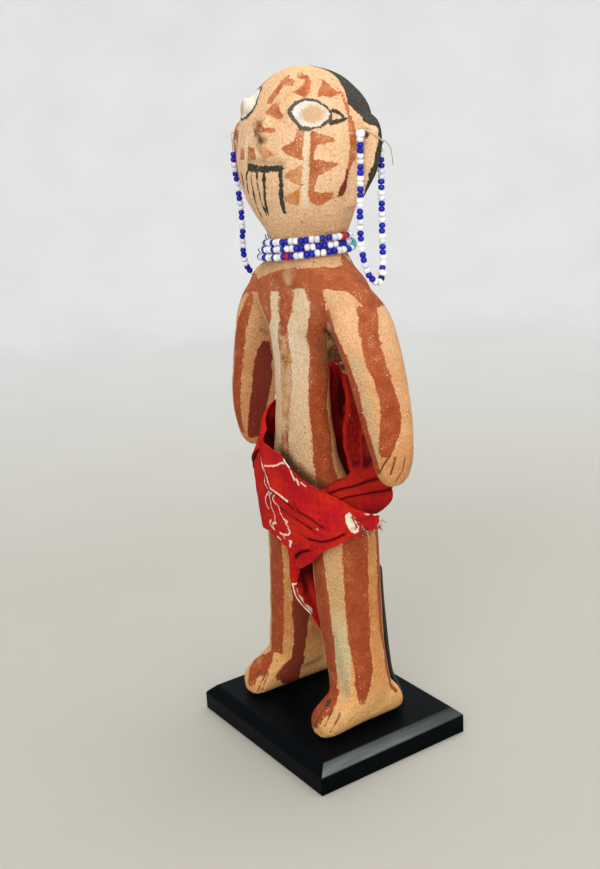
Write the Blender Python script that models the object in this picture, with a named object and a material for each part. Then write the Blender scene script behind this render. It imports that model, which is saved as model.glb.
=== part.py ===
"""Painted clay effigy figure on a black display base.

The figure faces -Y, its left side is +X and +Z is up. The origin is the centre
of the underside of the base. Sizes below are millimetres; MM turns them into
metres where a mesh is made.
"""
import math

import bmesh
import bpy
import numpy as np

MM = 0.001

# Display base: a flat block with a chamfer round its top edge.
BASE_WIDTH = 80.0
BASE_DEPTH = 67.0
BASE_HEIGHT = 10.5
BASE_SIDE = 7.2
BASE_CHAMFER = 3.5

# Gap that neighbouring pieces keep.
GAP = 0.3
SOLE = BASE_HEIGHT + GAP

# Trunk, from the crotch to inside the jaw:
# height, middle in Y, half width, half depth, power of the section's curve.
TRUNK = (
    (82.0, 0.2, 25.0, 11.2, 2.8),
    (90.0, -0.5, 25.5, 11.8, 2.7),
    (98.0, -2.6, 23.0, 10.8, 2.4),
    (106.0, -4.6, 18.4, 9.2, 2.2),
    (116.0, -5.4, 15.2, 8.1, 2.1),
    (132.0, -5.6, 13.3, 7.3, 2.1),
    (147.0, -4.9, 13.2, 8.0, 2.1),
    (156.0, -4.2, 14.5, 9.5, 2.1),
    (163.0, -3.5, 22.5, 9.8, 2.1),
    (169.0, -1.0, 33.0, 11.0, 2.1),
    (175.0, 0.0, 31.0, 11.2, 2.1),
    (181.0, 0.2, 21.5, 11.0, 2.0),
    (186.5, 0.2, 15.6, 10.8, 2.0),
    (194.0, 0.0, 15.6, 10.8, 2.0),
)

# Head, from inside the neck to the crown, about its own upright middle plane.
HEAD = (
    (184.0, 0.2, 13.0, 9.0, 2.0),
    (192.0, 0.1, 16.9, 11.3, 2.0),
    (198.0, -0.8, 20.6, 13.2, 2.0),
    (204.0, -1.6, 23.8, 14.8, 2.0),
    (210.0, -0.6, 26.9, 16.6, 2.0),
    (217.0, 0.4, 28.5, 17.4, 2.0),
    (225.0, 1.3, 27.8, 16.8, 2.0),
    (233.0, 2.3, 25.1, 14.9, 2.0),
    (240.0, 2.5, 18.8, 10.6, 2.0),
    (244.0, 1.8, 11.9, 6.3, 2.0),
    (246.2, 1.4, 4.0, 2.0, 2.0),
)
# The head looks this many degrees towards the left hand.
HEAD_TURN = 10.0

# One arm from the shoulder to the finger tips:
# height, middle in X, middle in Y, half width, half depth.
ARM = (
    (172.0, 23.0, 0.2, 8.5, 8.5),
    (166.0, 26.8, 0.4, 8.9, 10.8),
    (158.0, 30.8, 0.6, 8.6, 11.4),
    (147.0, 35.8, 0.8, 7.8, 10.6),
    (136.0, 39.1, 0.6, 7.4, 10.0),
    (124.0, 41.9, 0.2, 6.9, 8.9),
    (114.0, 43.5, 0.3, 5.7, 7.1),
    (108.0, 43.5, 0.5, 4.6, 5.6),
    (104.2, 43.3, 0.5, 2.3, 2.9),
)
ARM_POWER = 2.1
# The left hand hangs this much higher than the right one.
LEFT_HAND_LIFT = 5.0
LIFT_BELOW = 150.0

# One leg from the hip to the ankle, with the arm's columns.
LEG = (
    (102.0, 12.6, -1.4, 7.0, 7.5),
    (92.0, 14.4, -0.2, 11.0, 11.2),
    (80.0, 14.7, 0.1, 12.1, 12.2),
    (60.0, 15.2, -0.2, 11.9, 11.9),
    (40.0, 18.0, -0.6, 11.0, 11.2),
    (29.0, 20.0, -0.5, 10.0, 11.8),
    (20.0, 20.6, 0.0, 8.8, 12.8),
)
LEG_POWER = 2.05

# One foot from the heel to the toes:
# place in Y, middle in X, half width, height above the sole.
FOOT = (
    (15.6, 20.9, 3.0, 5.0),
    (14.4, 20.9, 6.0, 9.5),
    (10.5, 21.0, 7.3, 13.5),
    (3.0, 21.1, 7.6, 17.0),
    (-5.0, 21.2, 7.6, 17.0),
    (-11.5, 21.5, 7.5, 14.0),
    (-16.5, 21.7, 7.2, 11.0),
    (-20.0, 21.7, 6.0, 8.5),
    (-21.8, 21.7, 3.4, 5.0),
)
# The right foot stands this much further forward.
RIGHT_FOOT_SHIFT = -1.8
FOOT_POWER = 2.3

# One ear flange from its top to the lobe, in the head's own frame,
# with the arm's columns.
EAR = (
    (231.0, 24.5, 2.0, 3.0, 2.4),
    (227.5, 28.2, 1.6, 4.8, 3.4),
    (221.0, 29.8, 1.2, 4.6, 3.7),
    (213.0, 28.6, 0.6, 4.2, 3.5),
    (206.0, 25.4, -0.4, 3.6, 3.0),
    (200.5, 22.0, -1.0, 2.8, 2.4),
)
EAR_POWER = 2.0
# Hole through the flange, from front to back: place in X, height, radius.
EAR_HOLE_X = 30.6
EAR_HOLE_HEIGHT = 223.8
EAR_HOLE_RADIUS = 1.5

# Webs of clay behind the armpits, which join each arm to the shoulder blade.
WEB_CENTRE = (17.0, 3.0, 152.0)
WEB_RADII = (9.0, 3.5, 12.0)

# Eyes: low lens-shaped swellings on the face. Nose: a small upright ridge.
# The face sits this many degrees to the right of the head's middle.
FACE_TURN = -4.8
EYE_PLACE = 40.2
EYE_HEIGHT = 230.6
RIGHT_EYE_RISE = 2.4
EYE_RADII = (8.6, 1.9, 5.6)
EYE_SINK = 1.2
EYE_TILT = 6.0
NOSE_CENTRE = (-2.3, -15.0, 224.0)
NOSE_RADII = (2.8, 3.2, 6.5)

# Clay mesh: joining grid, smoothing and the share of faces that is kept.
CLAY_VOXEL = 1.0
CLAY_SMOOTH = 5
CLAY_KEEP = 0.028

# Seed beads: outer radius, radius where two beads meet, length on the thread.
BEAD_RADIUS = 1.2
BEAD_WAIST = 0.8
BEAD_PITCH = 1.95
BEAD_SIDES = 5

# Necklace strands: name, height at the front, rise towards the left side.
STRANDS = (
    ("necklace_bottom", 184.3, 1.4),
    ("necklace_middle", 187.0, 1.5),
    ("necklace_top", 189.7, 1.6),
)
STRAND_CLEARANCE = 0.9

# Ear loops: route of the thread from the front of the ear's hole, down, round
# the bottom that rests by the shoulder, and up to the back of the hole.
LEFT_LOOP = (
    (30.9, 1.4, 226.0),
    (30.8, 1.2, 217.0),
    (31.0, 0.4, 205.0),
    (31.4, -0.4, 194.0),
    (32.0, -0.3, 186.0),
    (33.0, 0.9, 180.0),
    (33.3, 3.2, 177.0),
    (33.0, 5.8, 176.6),
    (32.0, 7.8, 180.0),
    (31.0, 8.9, 190.0),
    (30.1, 9.8, 203.0),
    (29.4, 10.7, 213.0),
    (29.0, 11.2, 219.5),
)
RIGHT_LOOP = (
    (-29.1, -9.7, 223.5),
    (-30.2, -8.8, 214.0),
    (-30.8, -7.4, 204.0),
    (-31.6, -6.2, 194.0),
    (-32.6, -5.2, 185.0),
    (-33.6, -3.6, 178.0),
    (-34.2, -1.0, 174.4),
    (-34.2, 2.0, 174.0),
    (-33.4, 4.4, 177.0),
    (-32.0, 5.6, 185.0),
    (-31.0, 5.4, 196.0),
    (-31.2, 4.2, 208.0),
    (-31.8, 2.8, 219.5),
)

# Hip cloth: outer surface by height: height, middle in Y, half width, half depth.
WRAP = (
    (68.0, -0.3, 28.8, 14.9),
    (84.0, -0.3, 29.4, 15.4),
    (95.0, -0.9, 30.4, 15.8),
    (104.0, -1.8, 29.0, 15.2),
    (114.0, -3.2, 24.2, 13.4),
    (124.0, -4.4, 19.8, 11.8),
    (134.0, -5.0, 18.2, 10.8),
    (144.0, -5.2, 17.0, 10.4),
)
WRAP_POWER = 2.9
WRAP_THICKNESS = 1.5
# Its lower and upper edge by direction: degrees from the front towards the
# left side, lower height, upper height.
HEM = (
    (-150.0, 80.0, 137.0),
    (-105.0, 79.0, 131.0),
    (-65.0, 78.5, 125.5),
    (-30.0, 79.0, 119.5),
    (-5.0, 77.0, 116.2),
    (20.0, 78.6, 108.6),
    (50.0, 85.0, 105.4),
    (80.0, 91.5, 108.8),
    (104.0, 95.5, 110.0),
    (124.0, 92.0, 112.0),
    (150.0, 85.5, 138.0),
    (170.0, 83.0, 142.0),
)
# Places where the wrap stands away: turn, height, reach in degrees and in height, push.
WRAP_BULGES = (
    (102.0, 103.0, 20.0, 6.0, 5.5),
    (143.0, 124.0, 26.0, 15.0, 4.0),
)
WRAP_COLUMNS = 48
WRAP_ROWS = 7
LINING_ROWS = 5
# Folds: how far they stand out, how many go round, how much they climb.
FOLD_DEPTH = 0.55
FOLD_COUNT = 7.0
FOLD_CLIMB = 0.17

# Hanging corner of the cloth between the legs:
# height, middle in X, middle in Y, half width, half thickness.
TAIL = (
    (79.0, 1.1, -12.4, 3.7, 1.3),
    (74.0, 1.2, -11.2, 4.0, 1.3),
    (66.0, 0.9, -10.2, 4.4, 1.3),
    (57.0, 2.0, -9.6, 4.3, 1.2),
    (50.0, 5.1, -7.9, 1.9, 1.0),
    (45.0, 7.1, -7.4, 0.8, 0.6),
    (43.0, 7.9, -7.2, 0.4, 0.4),
)
TAIL_TURN = 60.0

# Support rod: route from the base up behind the left leg to the hip.
ROD_RADIUS = 1.0
ROD = (
    (19.8, 19.6, 10.8),
    (19.6, 18.6, 15.0),
    (18.5, 15.8, 23.0),
    (18.3, 14.6, 32.0),
    (17.8, 14.1, 42.0),
    (16.9, 13.9, 54.0),
    (16.4, 13.8, 67.0),
)

RING = 48
BLACK = (0.012, 0.013, 0.014, 1.0)
CLAY = (0.62, 0.36, 0.18, 1.0)
COTTON = (0.48, 0.025, 0.018, 1.0)
BEAD_BLUE = (0.02, 0.04, 0.55, 1.0)


def clear_scene():
    """Remove the objects that a new file starts with."""
    for item in list(bpy.data.objects):
        bpy.data.objects.remove(item, do_unlink=True)


def make_material(name, colour, roughness, metallic=0.0):
    """Make a Principled material with one colour."""
    material = bpy.data.materials.new(name)
    material.use_nodes = True
    shader = material.node_tree.nodes["Principled BSDF"]
    shader.inputs["Base Color"].default_value = colour
    shader.inputs["Roughness"].default_value = roughness
    shader.inputs["Metallic"].default_value = metallic
    material.diffuse_color = colour
    return material


def make_object(name, points, faces, material, smooth=True):
    """Make a mesh object from millimetre points, with its faces turned out."""
    mesh = bpy.data.meshes.new(name)
    mesh.from_pydata((np.asarray(points) * MM).tolist(), [], faces)
    work = bmesh.new()
    work.from_mesh(mesh)
    bmesh.ops.recalc_face_normals(work, faces=work.faces)
    work.to_mesh(mesh)
    work.free()
    if material is not None:
        mesh.materials.append(material)
    item = bpy.data.objects.new(name, mesh)
    bpy.context.scene.collection.objects.link(item)
    if smooth:
        mesh.shade_smooth()
        mesh.set_sharp_from_angle(angle=math.radians(40.0))
    return item


def smooth_rows(rows, steps):
    """Catmull-Rom curve through the rows, with this many steps from row to row."""
    rows = np.asarray(rows, dtype=float)
    padded = np.vstack((rows[0], rows, rows[-1]))
    place = np.linspace(0.0, len(rows) - 1.0, steps * (len(rows) - 1) + 1)
    first = np.minimum(place.astype(int), len(rows) - 2)
    part = (place - first)[:, None]
    before, start, end, after = (padded[first + k] for k in range(4))
    return 0.5 * (
        2.0 * start
        + (end - before) * part
        + (2.0 * before - 5.0 * start + 4.0 * end - after) * part ** 2
        + (3.0 * start - before - 3.0 * end + after) * part ** 3
    )


def section(half_first, half_second, power, count=RING):
    """Closed curve |a|^power + |b|^power = 1, stretched to the half sizes."""
    turn = np.linspace(0.0, 2.0 * math.pi, count, endpoint=False)
    cosine, sine = np.cos(turn), np.sin(turn)
    first = half_first * np.sign(cosine) * np.abs(cosine) ** (2.0 / power)
    second = half_second * np.sign(sine) * np.abs(sine) ** (2.0 / power)
    return first, second


def skin_rings(rings):
    """Join rings of points into one tube, closed at both ends by a flat face."""
    count = len(rings[0])
    points = np.concatenate(rings)
    faces = []
    for row in range(len(rings) - 1):
        for col in range(count):
            right = (col + 1) % count
            low, high = row * count, (row + 1) * count
            faces.append((low + col, low + right, high + right, high + col))
    faces.append(tuple(range(count)))
    faces.append(tuple(range(len(points) - count, len(points))))
    return points, faces


def turn_about_z(points, degrees):
    """Points turned about the upright axis through the origin."""
    angle = math.radians(degrees)
    turned = np.array(points, dtype=float)
    turned[:, 0] = points[:, 0] * math.cos(angle) - points[:, 1] * math.sin(angle)
    turned[:, 1] = points[:, 0] * math.sin(angle) + points[:, 1] * math.cos(angle)
    return turned


def column(rows):
    """Loft of level sections up the middle of the figure."""
    rings = []
    for height, middle, half_width, half_depth, power in smooth_rows(rows, 5):
        across, along = section(half_width, half_depth, power)
        rings.append(np.column_stack((across, middle + along, np.full(RING, height))))
    return skin_rings(rings)


def limb(rows, side, power, lift=0.0):
    """Loft of level sections down one limb, on the left (+1) or right (-1)."""
    rings = []
    for height, middle_x, middle_y, half_width, half_depth in smooth_rows(rows, 5):
        across, along = section(half_width, half_depth, power)
        drop = max(0.0, (LIFT_BELOW - height) / (LIFT_BELOW - rows[-1][0]))
        rings.append(np.column_stack((
            side * (middle_x + across),
            middle_y + along,
            np.full(RING, height + lift * drop),
        )))
    return skin_rings(rings)


def foot(side):
    """Loft of upright sections from the heel to the toes, flat on the sole."""
    shift = RIGHT_FOOT_SHIFT if side < 0 else 0.0
    rings = []
    for place, middle_x, half_width, height in smooth_rows(FOOT, 5):
        across, upward = section(half_width, height / 2.0, FOOT_POWER)
        level = np.maximum(SOLE + height / 2.0 + upward * 1.04, SOLE)
        rings.append(np.column_stack((
            side * (middle_x + across),
            np.full(RING, place + shift),
            level,
        )))
    return skin_rings(rings)


def ball(centre, radii, turn=0.0, tilt=0.0, count=24):
    """Ball stretched to the radii, tilted about its own Y, then turned about Z."""
    rings = []
    for polar in np.linspace(0.04, math.pi - 0.04, count):
        across, along = section(math.sin(polar), math.sin(polar), 2.0)
        rings.append(np.column_stack((across, along, np.full(RING, math.cos(polar)))))
    points, faces = skin_rings(rings)
    points = points * np.asarray(radii)
    lean = math.radians(tilt)
    tilted = points.copy()
    tilted[:, 0] = points[:, 0] * math.cos(lean) + points[:, 2] * math.sin(lean)
    tilted[:, 2] = points[:, 2] * math.cos(lean) - points[:, 0] * math.sin(lean)
    return turn_about_z(tilted, turn) + np.asarray(centre), faces


def row_at(rows, height):
    """The row of a loft at any height, by smooth steps between its rows."""
    fine = smooth_rows(rows, 20)
    fine = fine[np.argsort(fine[:, 0])]
    return [float(np.interp(height, fine[:, 0], fine[:, k])) for k in range(1, fine.shape[1])]


def eye(side):
    """Low lens on the face, half sunk into it, facing out from the head's middle."""
    middle, half_width, half_depth, _ = row_at(HEAD, EYE_HEIGHT)
    angle = math.radians(side * EYE_PLACE + FACE_TURN)
    outward = np.array((math.sin(angle) / half_width, -math.cos(angle) / half_depth))
    outward /= np.linalg.norm(outward)
    place = (
        half_width * math.sin(angle) - EYE_SINK * outward[0],
        middle - half_depth * math.cos(angle) - EYE_SINK * outward[1],
        EYE_HEIGHT + (RIGHT_EYE_RISE if side < 0 else 0.0),
    )
    facing = math.degrees(math.atan2(outward[0], -outward[1]))
    return ball(place, EYE_RADII, facing, side * EYE_TILT)


def make_figure(material):
    """The clay figure: every form melted into one body, with a hole in each ear."""
    shapes = [column(TRUNK)]
    head = [column(HEAD), ball(NOSE_CENTRE, NOSE_RADII)]
    for side in (-1, 1):
        shapes.append(limb(ARM, side, ARM_POWER, LEFT_HAND_LIFT if side > 0 else 0.0))
        shapes.append(limb(LEG, side, LEG_POWER))
        shapes.append(foot(side))
        shapes.append(ball((side * WEB_CENTRE[0],) + WEB_CENTRE[1:], WEB_RADII))
        head.append(limb(EAR, side, EAR_POWER))
        head.append(eye(side))
    shapes.extend((turn_about_z(points, HEAD_TURN), faces) for points, faces in head)
    points, faces, start = [], [], 0
    for shape_points, shape_faces in shapes:
        points.append(shape_points)
        faces.extend(tuple(start + corner for corner in face) for face in shape_faces)
        start += len(shape_points)
    item = make_object("figure", np.concatenate(points), faces, material)

    melt = item.modifiers.new("Melt", "REMESH")
    melt.mode = "VOXEL"
    melt.voxel_size = CLAY_VOXEL * MM
    melt.use_smooth_shade = True
    soften = item.modifiers.new("Soften", "SMOOTH")
    soften.factor = 0.5
    soften.iterations = CLAY_SMOOTH
    thin = item.modifiers.new("Thin", "DECIMATE")
    thin.ratio = CLAY_KEEP
    for side in (-1, 1):
        cutter = ear_cutter(side)
        pierce = item.modifiers.new("Ear hole", "BOOLEAN")
        pierce.operation = "DIFFERENCE"
        pierce.solver = "EXACT"
        pierce.object = cutter
    return item


def ear_cutter(side):
    """Pin that pierces one ear from front to back. It isn't part of the object."""
    turn = np.linspace(0.0, 2.0 * math.pi, 10, endpoint=False)
    rings = []
    for place in (-9.0, 10.0):
        rings.append(np.column_stack((
            side * EAR_HOLE_X + EAR_HOLE_RADIUS * np.cos(turn),
            np.full(10, place),
            EAR_HOLE_HEIGHT + EAR_HOLE_RADIUS * np.sin(turn),
        )))
    points, faces = skin_rings(rings)
    name = "ear_pin_left" if side > 0 else "ear_pin_right"
    item = make_object(name, turn_about_z(points, HEAD_TURN), faces, None)
    item.display_type = "WIRE"
    item.hide_render = True
    return item


def even_path(points, pitch, closed):
    """Points a pitch apart along a line, its length rounded to whole pitches."""
    points = np.asarray(points, dtype=float)
    if closed:
        points = np.vstack((points, points[0]))
    steps = np.linalg.norm(np.diff(points, axis=0), axis=1)
    length = np.concatenate(([0.0], np.cumsum(steps)))
    count = int(round(length[-1] / pitch))
    places = np.linspace(0.0, length[-1], count + 1)
    if closed:
        places = places[:-1]
    return np.column_stack([np.interp(places, length, points[:, k]) for k in range(3)])


def string_of_beads(name, route, closed, material):
    """One tube that swells at every bead, along the route."""
    line = even_path(route, BEAD_PITCH / 2.0, closed)
    if not closed and len(line) % 2 == 0:
        line = even_path(route, BEAD_PITCH / 2.0 * (1.0 + 1.0 / len(line)), closed)
    if closed and len(line) % 2 == 1:
        line = even_path(route, BEAD_PITCH / 2.0 * (1.0 + 1.0 / len(line)), closed)
    if closed:
        along = np.roll(line, -1, axis=0) - np.roll(line, 1, axis=0)
    else:
        along = np.gradient(line, axis=0)
    along /= np.linalg.norm(along, axis=1)[:, None]
    turn = np.linspace(0.0, 2.0 * math.pi, BEAD_SIDES, endpoint=False)
    reference = np.array((0.0, 0.0, 1.0)) if closed else np.array((1.0, 0.0, 0.0))
    rings = []
    for step, (place, direction) in enumerate(zip(line, along)):
        radius = BEAD_WAIST if step % 2 == 0 else BEAD_RADIUS
        first = reference - direction * np.dot(reference, direction)
        first /= np.linalg.norm(first)
        second = np.cross(direction, first)
        rings.append(place + radius * (
            np.outer(np.cos(turn), first) + np.outer(np.sin(turn), second)
        ))
    points, faces = skin_rings(rings)
    if closed:
        faces = faces[:-2]
        last = (len(rings) - 1) * BEAD_SIDES
        for col in range(BEAD_SIDES):
            right = (col + 1) % BEAD_SIDES
            faces.append((last + col, last + right, right, col))
    return make_object(name, points, faces, material)


def strand_route(height, rise):
    """Closed line round the neck, just clear of the clay."""
    offset = BEAD_RADIUS + STRAND_CLEARANCE
    points = []
    for angle in np.linspace(-math.pi, math.pi, 96, endpoint=False):
        level = height + rise * math.sin(angle)
        middle, half_width, half_depth = row_at(TRUNK, level)[:3]
        jaw_middle, jaw_width, jaw_depth = row_at(HEAD, level)[:3]
        half_width = max(half_width, jaw_width) + offset
        half_depth = max(half_depth, jaw_depth) + offset
        points.append((
            half_width * math.sin(angle),
            middle - half_depth * math.cos(angle),
            level,
        ))
    return points


def make_base(material):
    """Block with a chamfer round the top edge."""
    rings = []
    inner = BASE_CHAMFER
    for inset, height in ((0.0, 0.0), (0.0, BASE_SIDE), (inner, BASE_HEIGHT)):
        half_x = BASE_WIDTH / 2.0 - inset
        half_y = BASE_DEPTH / 2.0 - inset
        rings.append(np.array((
            (-half_x, -half_y, height),
            (half_x, -half_y, height),
            (half_x, half_y, height),
            (-half_x, half_y, height),
        )))
    points, faces = skin_rings(rings)
    item = make_object("display_base", points, faces, material, smooth=False)
    soften = item.modifiers.new("Soft edges", "BEVEL")
    soften.width = 0.35 * MM
    soften.segments = 1
    soften.limit_method = "ANGLE"
    soften.angle_limit = math.radians(25.0)
    return item


def make_rod(material):
    """Bent rod, as a bevelled curve with filled ends."""
    route = smooth_rows(ROD, 3)
    curve = bpy.data.curves.new("support_rod", "CURVE")
    curve.dimensions = "3D"
    spline = curve.splines.new("POLY")
    spline.points.add(len(route) - 1)
    for point, place in zip(spline.points, route):
        point.co = (place[0] * MM, place[1] * MM, place[2] * MM, 1.0)
    curve.bevel_depth = ROD_RADIUS * MM
    curve.bevel_resolution = 2
    curve.use_fill_caps = True
    curve.materials.append(material)
    item = bpy.data.objects.new("support_rod", curve)
    bpy.context.scene.collection.objects.link(item)
    return item


def hem_at(angle):
    """Lower and upper edge of the wrap in a direction given in degrees."""
    rows = np.asarray(HEM)
    closed = np.vstack((rows[-2:] - (360.0, 0.0, 0.0), rows, rows[:2] + (360.0, 0.0, 0.0)))
    fine = smooth_rows(closed, 12)
    return [float(np.interp(angle, fine[:, 0], fine[:, k])) for k in (1, 2)]


def signed_power(value, power):
    """The value's size raised to a power, with its sign kept."""
    return math.copysign(abs(value) ** power, value)


def wrap_ring(share, inset, fold_depth):
    """Ring round the hips, this share of the way from the lower to the upper edge."""
    points = []
    power = 2.0 / WRAP_POWER
    for angle in np.linspace(-180.0, 180.0, WRAP_COLUMNS, endpoint=False):
        low, high = hem_at(angle)
        level = low + (high - low) * share
        middle, half_width, half_depth = row_at(WRAP, level)
        spin = math.radians(angle)
        fold = fold_depth * math.cos(FOLD_COUNT * (spin + (level - 90.0) * FOLD_CLIMB))
        for at_turn, at_height, turns, heights, push in WRAP_BULGES:
            away = ((angle - at_turn + 180.0) % 360.0 - 180.0) / turns
            fold += push * math.exp(-away ** 2 - ((level - at_height) / heights) ** 2)
        points.append((
            (half_width + fold - inset) * signed_power(math.sin(spin), power),
            middle - (half_depth + fold - inset) * signed_power(math.cos(spin), power),
            level,
        ))
    return np.array(points)


def make_cloth(material):
    """The wrapped cloth: a folded band round the hips, joined to its hanging corner."""
    outer = [wrap_ring(share, 0.0, FOLD_DEPTH) for share in np.linspace(0.0, 1.0, WRAP_ROWS)]
    inner = [wrap_ring(share, WRAP_THICKNESS, 0.0) for share in np.linspace(0.0, 1.0, LINING_ROWS)]
    rings = outer + inner[::-1]
    points, faces = skin_rings(rings)
    faces = faces[:-2]
    last = (len(rings) - 1) * WRAP_COLUMNS
    for col in range(WRAP_COLUMNS):
        right = (col + 1) % WRAP_COLUMNS
        faces.append((last + col, last + right, right, col))
    item = make_object("hip_cloth", points, faces, material)

    rings = []
    angle = math.radians(TAIL_TURN)
    turn = np.linspace(0.0, 2.0 * math.pi, 12, endpoint=False)
    for height, middle_x, middle_y, half_width, half_thick in smooth_rows(TAIL, 2):
        across = half_width * np.cos(turn)
        thick = half_thick * np.sin(turn)
        rings.append(np.column_stack((
            middle_x + across * math.cos(angle) - thick * math.sin(angle),
            middle_y + across * math.sin(angle) + thick * math.cos(angle),
            np.full(12, height),
        )))
    points, faces = skin_rings(rings)
    tail = make_object("cloth_corner", points, faces, material)
    tail.display_type = "WIRE"
    tail.hide_render = True
    join = item.modifiers.new("Corner", "BOOLEAN")
    join.operation = "UNION"
    join.solver = "EXACT"
    join.object = tail
    return item


def main():
    clear_scene()
    black = make_material("black satin", BLACK, 0.4)
    clay = make_material("clay", CLAY, 0.85)
    cotton = make_material("red cotton", COTTON, 0.9)
    glass = make_material("glass beads", BEAD_BLUE, 0.2)
    make_base(black)
    make_rod(black)
    make_figure(clay)
    make_cloth(cotton)
    for name, height, rise in STRANDS:
        string_of_beads(name, strand_route(height, rise), True, glass)
    string_of_beads("ear_loop_left", smooth_rows(LEFT_LOOP, 8), False, glass)
    string_of_beads("ear_loop_right", smooth_rows(RIGHT_LOOP, 8), False, glass)


main()
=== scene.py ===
"""Painted clay effigy figure on a black display base, dressed for rendering.

Laid out as an add-on: settings, one operator for each piece, a panel and a main function.
The figure faces -Y, its left side is +X and +Z is up. Sizes in the tables below are
millimetres, and MM turns them into metres where a mesh is made.
"""

import math

import bmesh
import bpy
import numpy as np
from mathutils import Matrix, Vector


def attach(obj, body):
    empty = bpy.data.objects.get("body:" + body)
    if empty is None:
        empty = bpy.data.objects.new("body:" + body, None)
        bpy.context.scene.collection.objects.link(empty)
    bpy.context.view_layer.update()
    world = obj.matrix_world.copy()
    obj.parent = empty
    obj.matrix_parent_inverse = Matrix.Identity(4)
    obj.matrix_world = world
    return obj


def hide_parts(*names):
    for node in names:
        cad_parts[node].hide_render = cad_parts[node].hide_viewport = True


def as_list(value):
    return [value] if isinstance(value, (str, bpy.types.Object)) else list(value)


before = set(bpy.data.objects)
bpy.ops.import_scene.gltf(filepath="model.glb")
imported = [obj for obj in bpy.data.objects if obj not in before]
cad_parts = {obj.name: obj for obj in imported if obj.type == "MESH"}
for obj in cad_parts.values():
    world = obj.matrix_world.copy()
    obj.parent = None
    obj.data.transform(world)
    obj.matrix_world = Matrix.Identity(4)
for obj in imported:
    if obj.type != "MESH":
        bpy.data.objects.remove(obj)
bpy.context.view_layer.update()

bl_info = {
    "name": "Pottery Figure",
    "version": (1, 0, 0),
    "blender": (4, 5, 0),
    "location": "3D View > Sidebar > Figure",
    "description": "Builds a painted clay figure with beads, a cotton hip cloth and a display base",
    "category": "Add Mesh",
}

MM = 0.001
TINY = 1e-12

# ---------------------------------------------------------------------------
# The clay body's forms
# ---------------------------------------------------------------------------

# Trunk: height, middle in Y, half width, half depth, power of the section's curve.
TRUNK = (
    (82, 0.2, 25, 11.2, 2.8),
    (90, -0.5, 25.5, 11.8, 2.7),
    (98, -2.6, 23, 10.8, 2.4),
    (106, -4.6, 18.4, 9.2, 2.2),
    (116, -5.4, 15.2, 8.1, 2.1),
    (132, -5.6, 13.3, 7.3, 2.1),
    (147, -4.9, 13.2, 8, 2.1),
    (156, -4.2, 14.5, 9.5, 2.1),
    (163, -3.5, 22.5, 9.8, 2.1),
    (169, -1, 33, 11, 2.1),
    (175, 0, 31, 11.2, 2.1),
    (181, 0.2, 21.5, 11, 2),
    (186.5, 0.2, 15.6, 10.8, 2),
    (194, 0, 15.6, 10.8, 2),
)

# Head, with the trunk's columns, about its own upright middle plane.
HEAD = (
    (184, 0.2, 13, 9, 2),
    (192, 0.1, 16.9, 11.3, 2),
    (198, -0.8, 20.6, 13.2, 2),
    (204, -1.6, 23.8, 14.8, 2),
    (210, -0.6, 26.9, 16.6, 2),
    (217, 0.4, 28.5, 17.4, 2),
    (225, 1.3, 27.8, 16.8, 2),
    (233, 2.3, 25.1, 14.9, 2),
    (240, 2.5, 18.8, 10.6, 2),
    (244, 1.8, 11.9, 6.3, 2),
    (246.2, 1.4, 4, 2, 2),
)
HEAD_TURN = 10.0

# Arm: height, middle in X, middle in Y, half width, half depth.
ARM = (
    (172, 23, 0.2, 8.5, 8.5),
    (166, 26.8, 0.4, 8.9, 10.8),
    (158, 30.8, 0.6, 8.6, 11.4),
    (147, 35.8, 0.8, 7.8, 10.6),
    (136, 39.1, 0.6, 7.4, 10),
    (124, 41.9, 0.2, 6.9, 8.9),
    (114, 43.5, 0.3, 5.7, 7.1),
    (108, 43.5, 0.5, 4.6, 5.6),
    (104.2, 43.3, 0.5, 2.3, 2.9),
)
ARM_POWER = 2.1
LEFT_HAND_LIFT = 5.0
LIFT_BELOW = 150.0

# Leg, with the arm's columns.
LEG = (
    (102, 12.6, -1.4, 7, 7.5),
    (92, 14.4, -0.2, 11, 11.2),
    (80, 14.7, 0.1, 12.1, 12.2),
    (60, 15.2, -0.2, 11.9, 11.9),
    (40, 18, -0.6, 11, 11.2),
    (29, 20, -0.5, 10, 11.8),
    (20, 20.6, 0, 8.8, 12.8),
)
LEG_POWER = 2.05

# Foot: place in Y, middle in X, half width, height above the sole.
FOOT = (
    (15.6, 20.9, 3, 5),
    (14.4, 20.9, 6, 9.5),
    (10.5, 21, 7.3, 13.5),
    (3, 21.1, 7.6, 17),
    (-5, 21.2, 7.6, 17),
    (-11.5, 21.5, 7.5, 14),
    (-16.5, 21.7, 7.2, 11),
    (-20, 21.7, 6, 8.5),
    (-21.8, 21.7, 3.4, 5),
)
FOOT_POWER = 2.3
RIGHT_FOOT_SHIFT = -1.8
SOLE = 10.8

# Ear flange, with the arm's columns, in the head's own frame, and its hole.
EAR = (
    (231, 24.5, 2, 3, 2.4),
    (227.5, 28.2, 1.6, 4.8, 3.4),
    (221, 29.8, 1.2, 4.6, 3.7),
    (213, 28.6, 0.6, 4.2, 3.5),
    (206, 25.4, -0.4, 3.6, 3),
    (200.5, 22, -1, 2.8, 2.4),
)
EAR_HOLE = (30.6, 223.8)

# Web of clay in each armpit: its middle on the left side, and its radii.
WEB_CENTRE = (17, 3, 154)
WEB_RADII = (9, 3.5, 12)
# Degrees from the head's middle plane to the painted face's, towards the left side.
FACE_TURN = -4.8
EYE_PLACE = 40.2
EYE_HEIGHT = 230.6
EYE_RADII = (8.6, 1.9, 5.6)
EYE_SINK = 1.2
EYE_TILT = 6.0
# The right eye's lens: place, rise, tilt and size against the left one.
RIGHT_LENS = (40.2, 2, 6, 0.78)
NOSE_CENTRE = (-2.3, -15, 224)
NOSE_RADII = (2.8, 3.2, 6.5)
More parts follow.
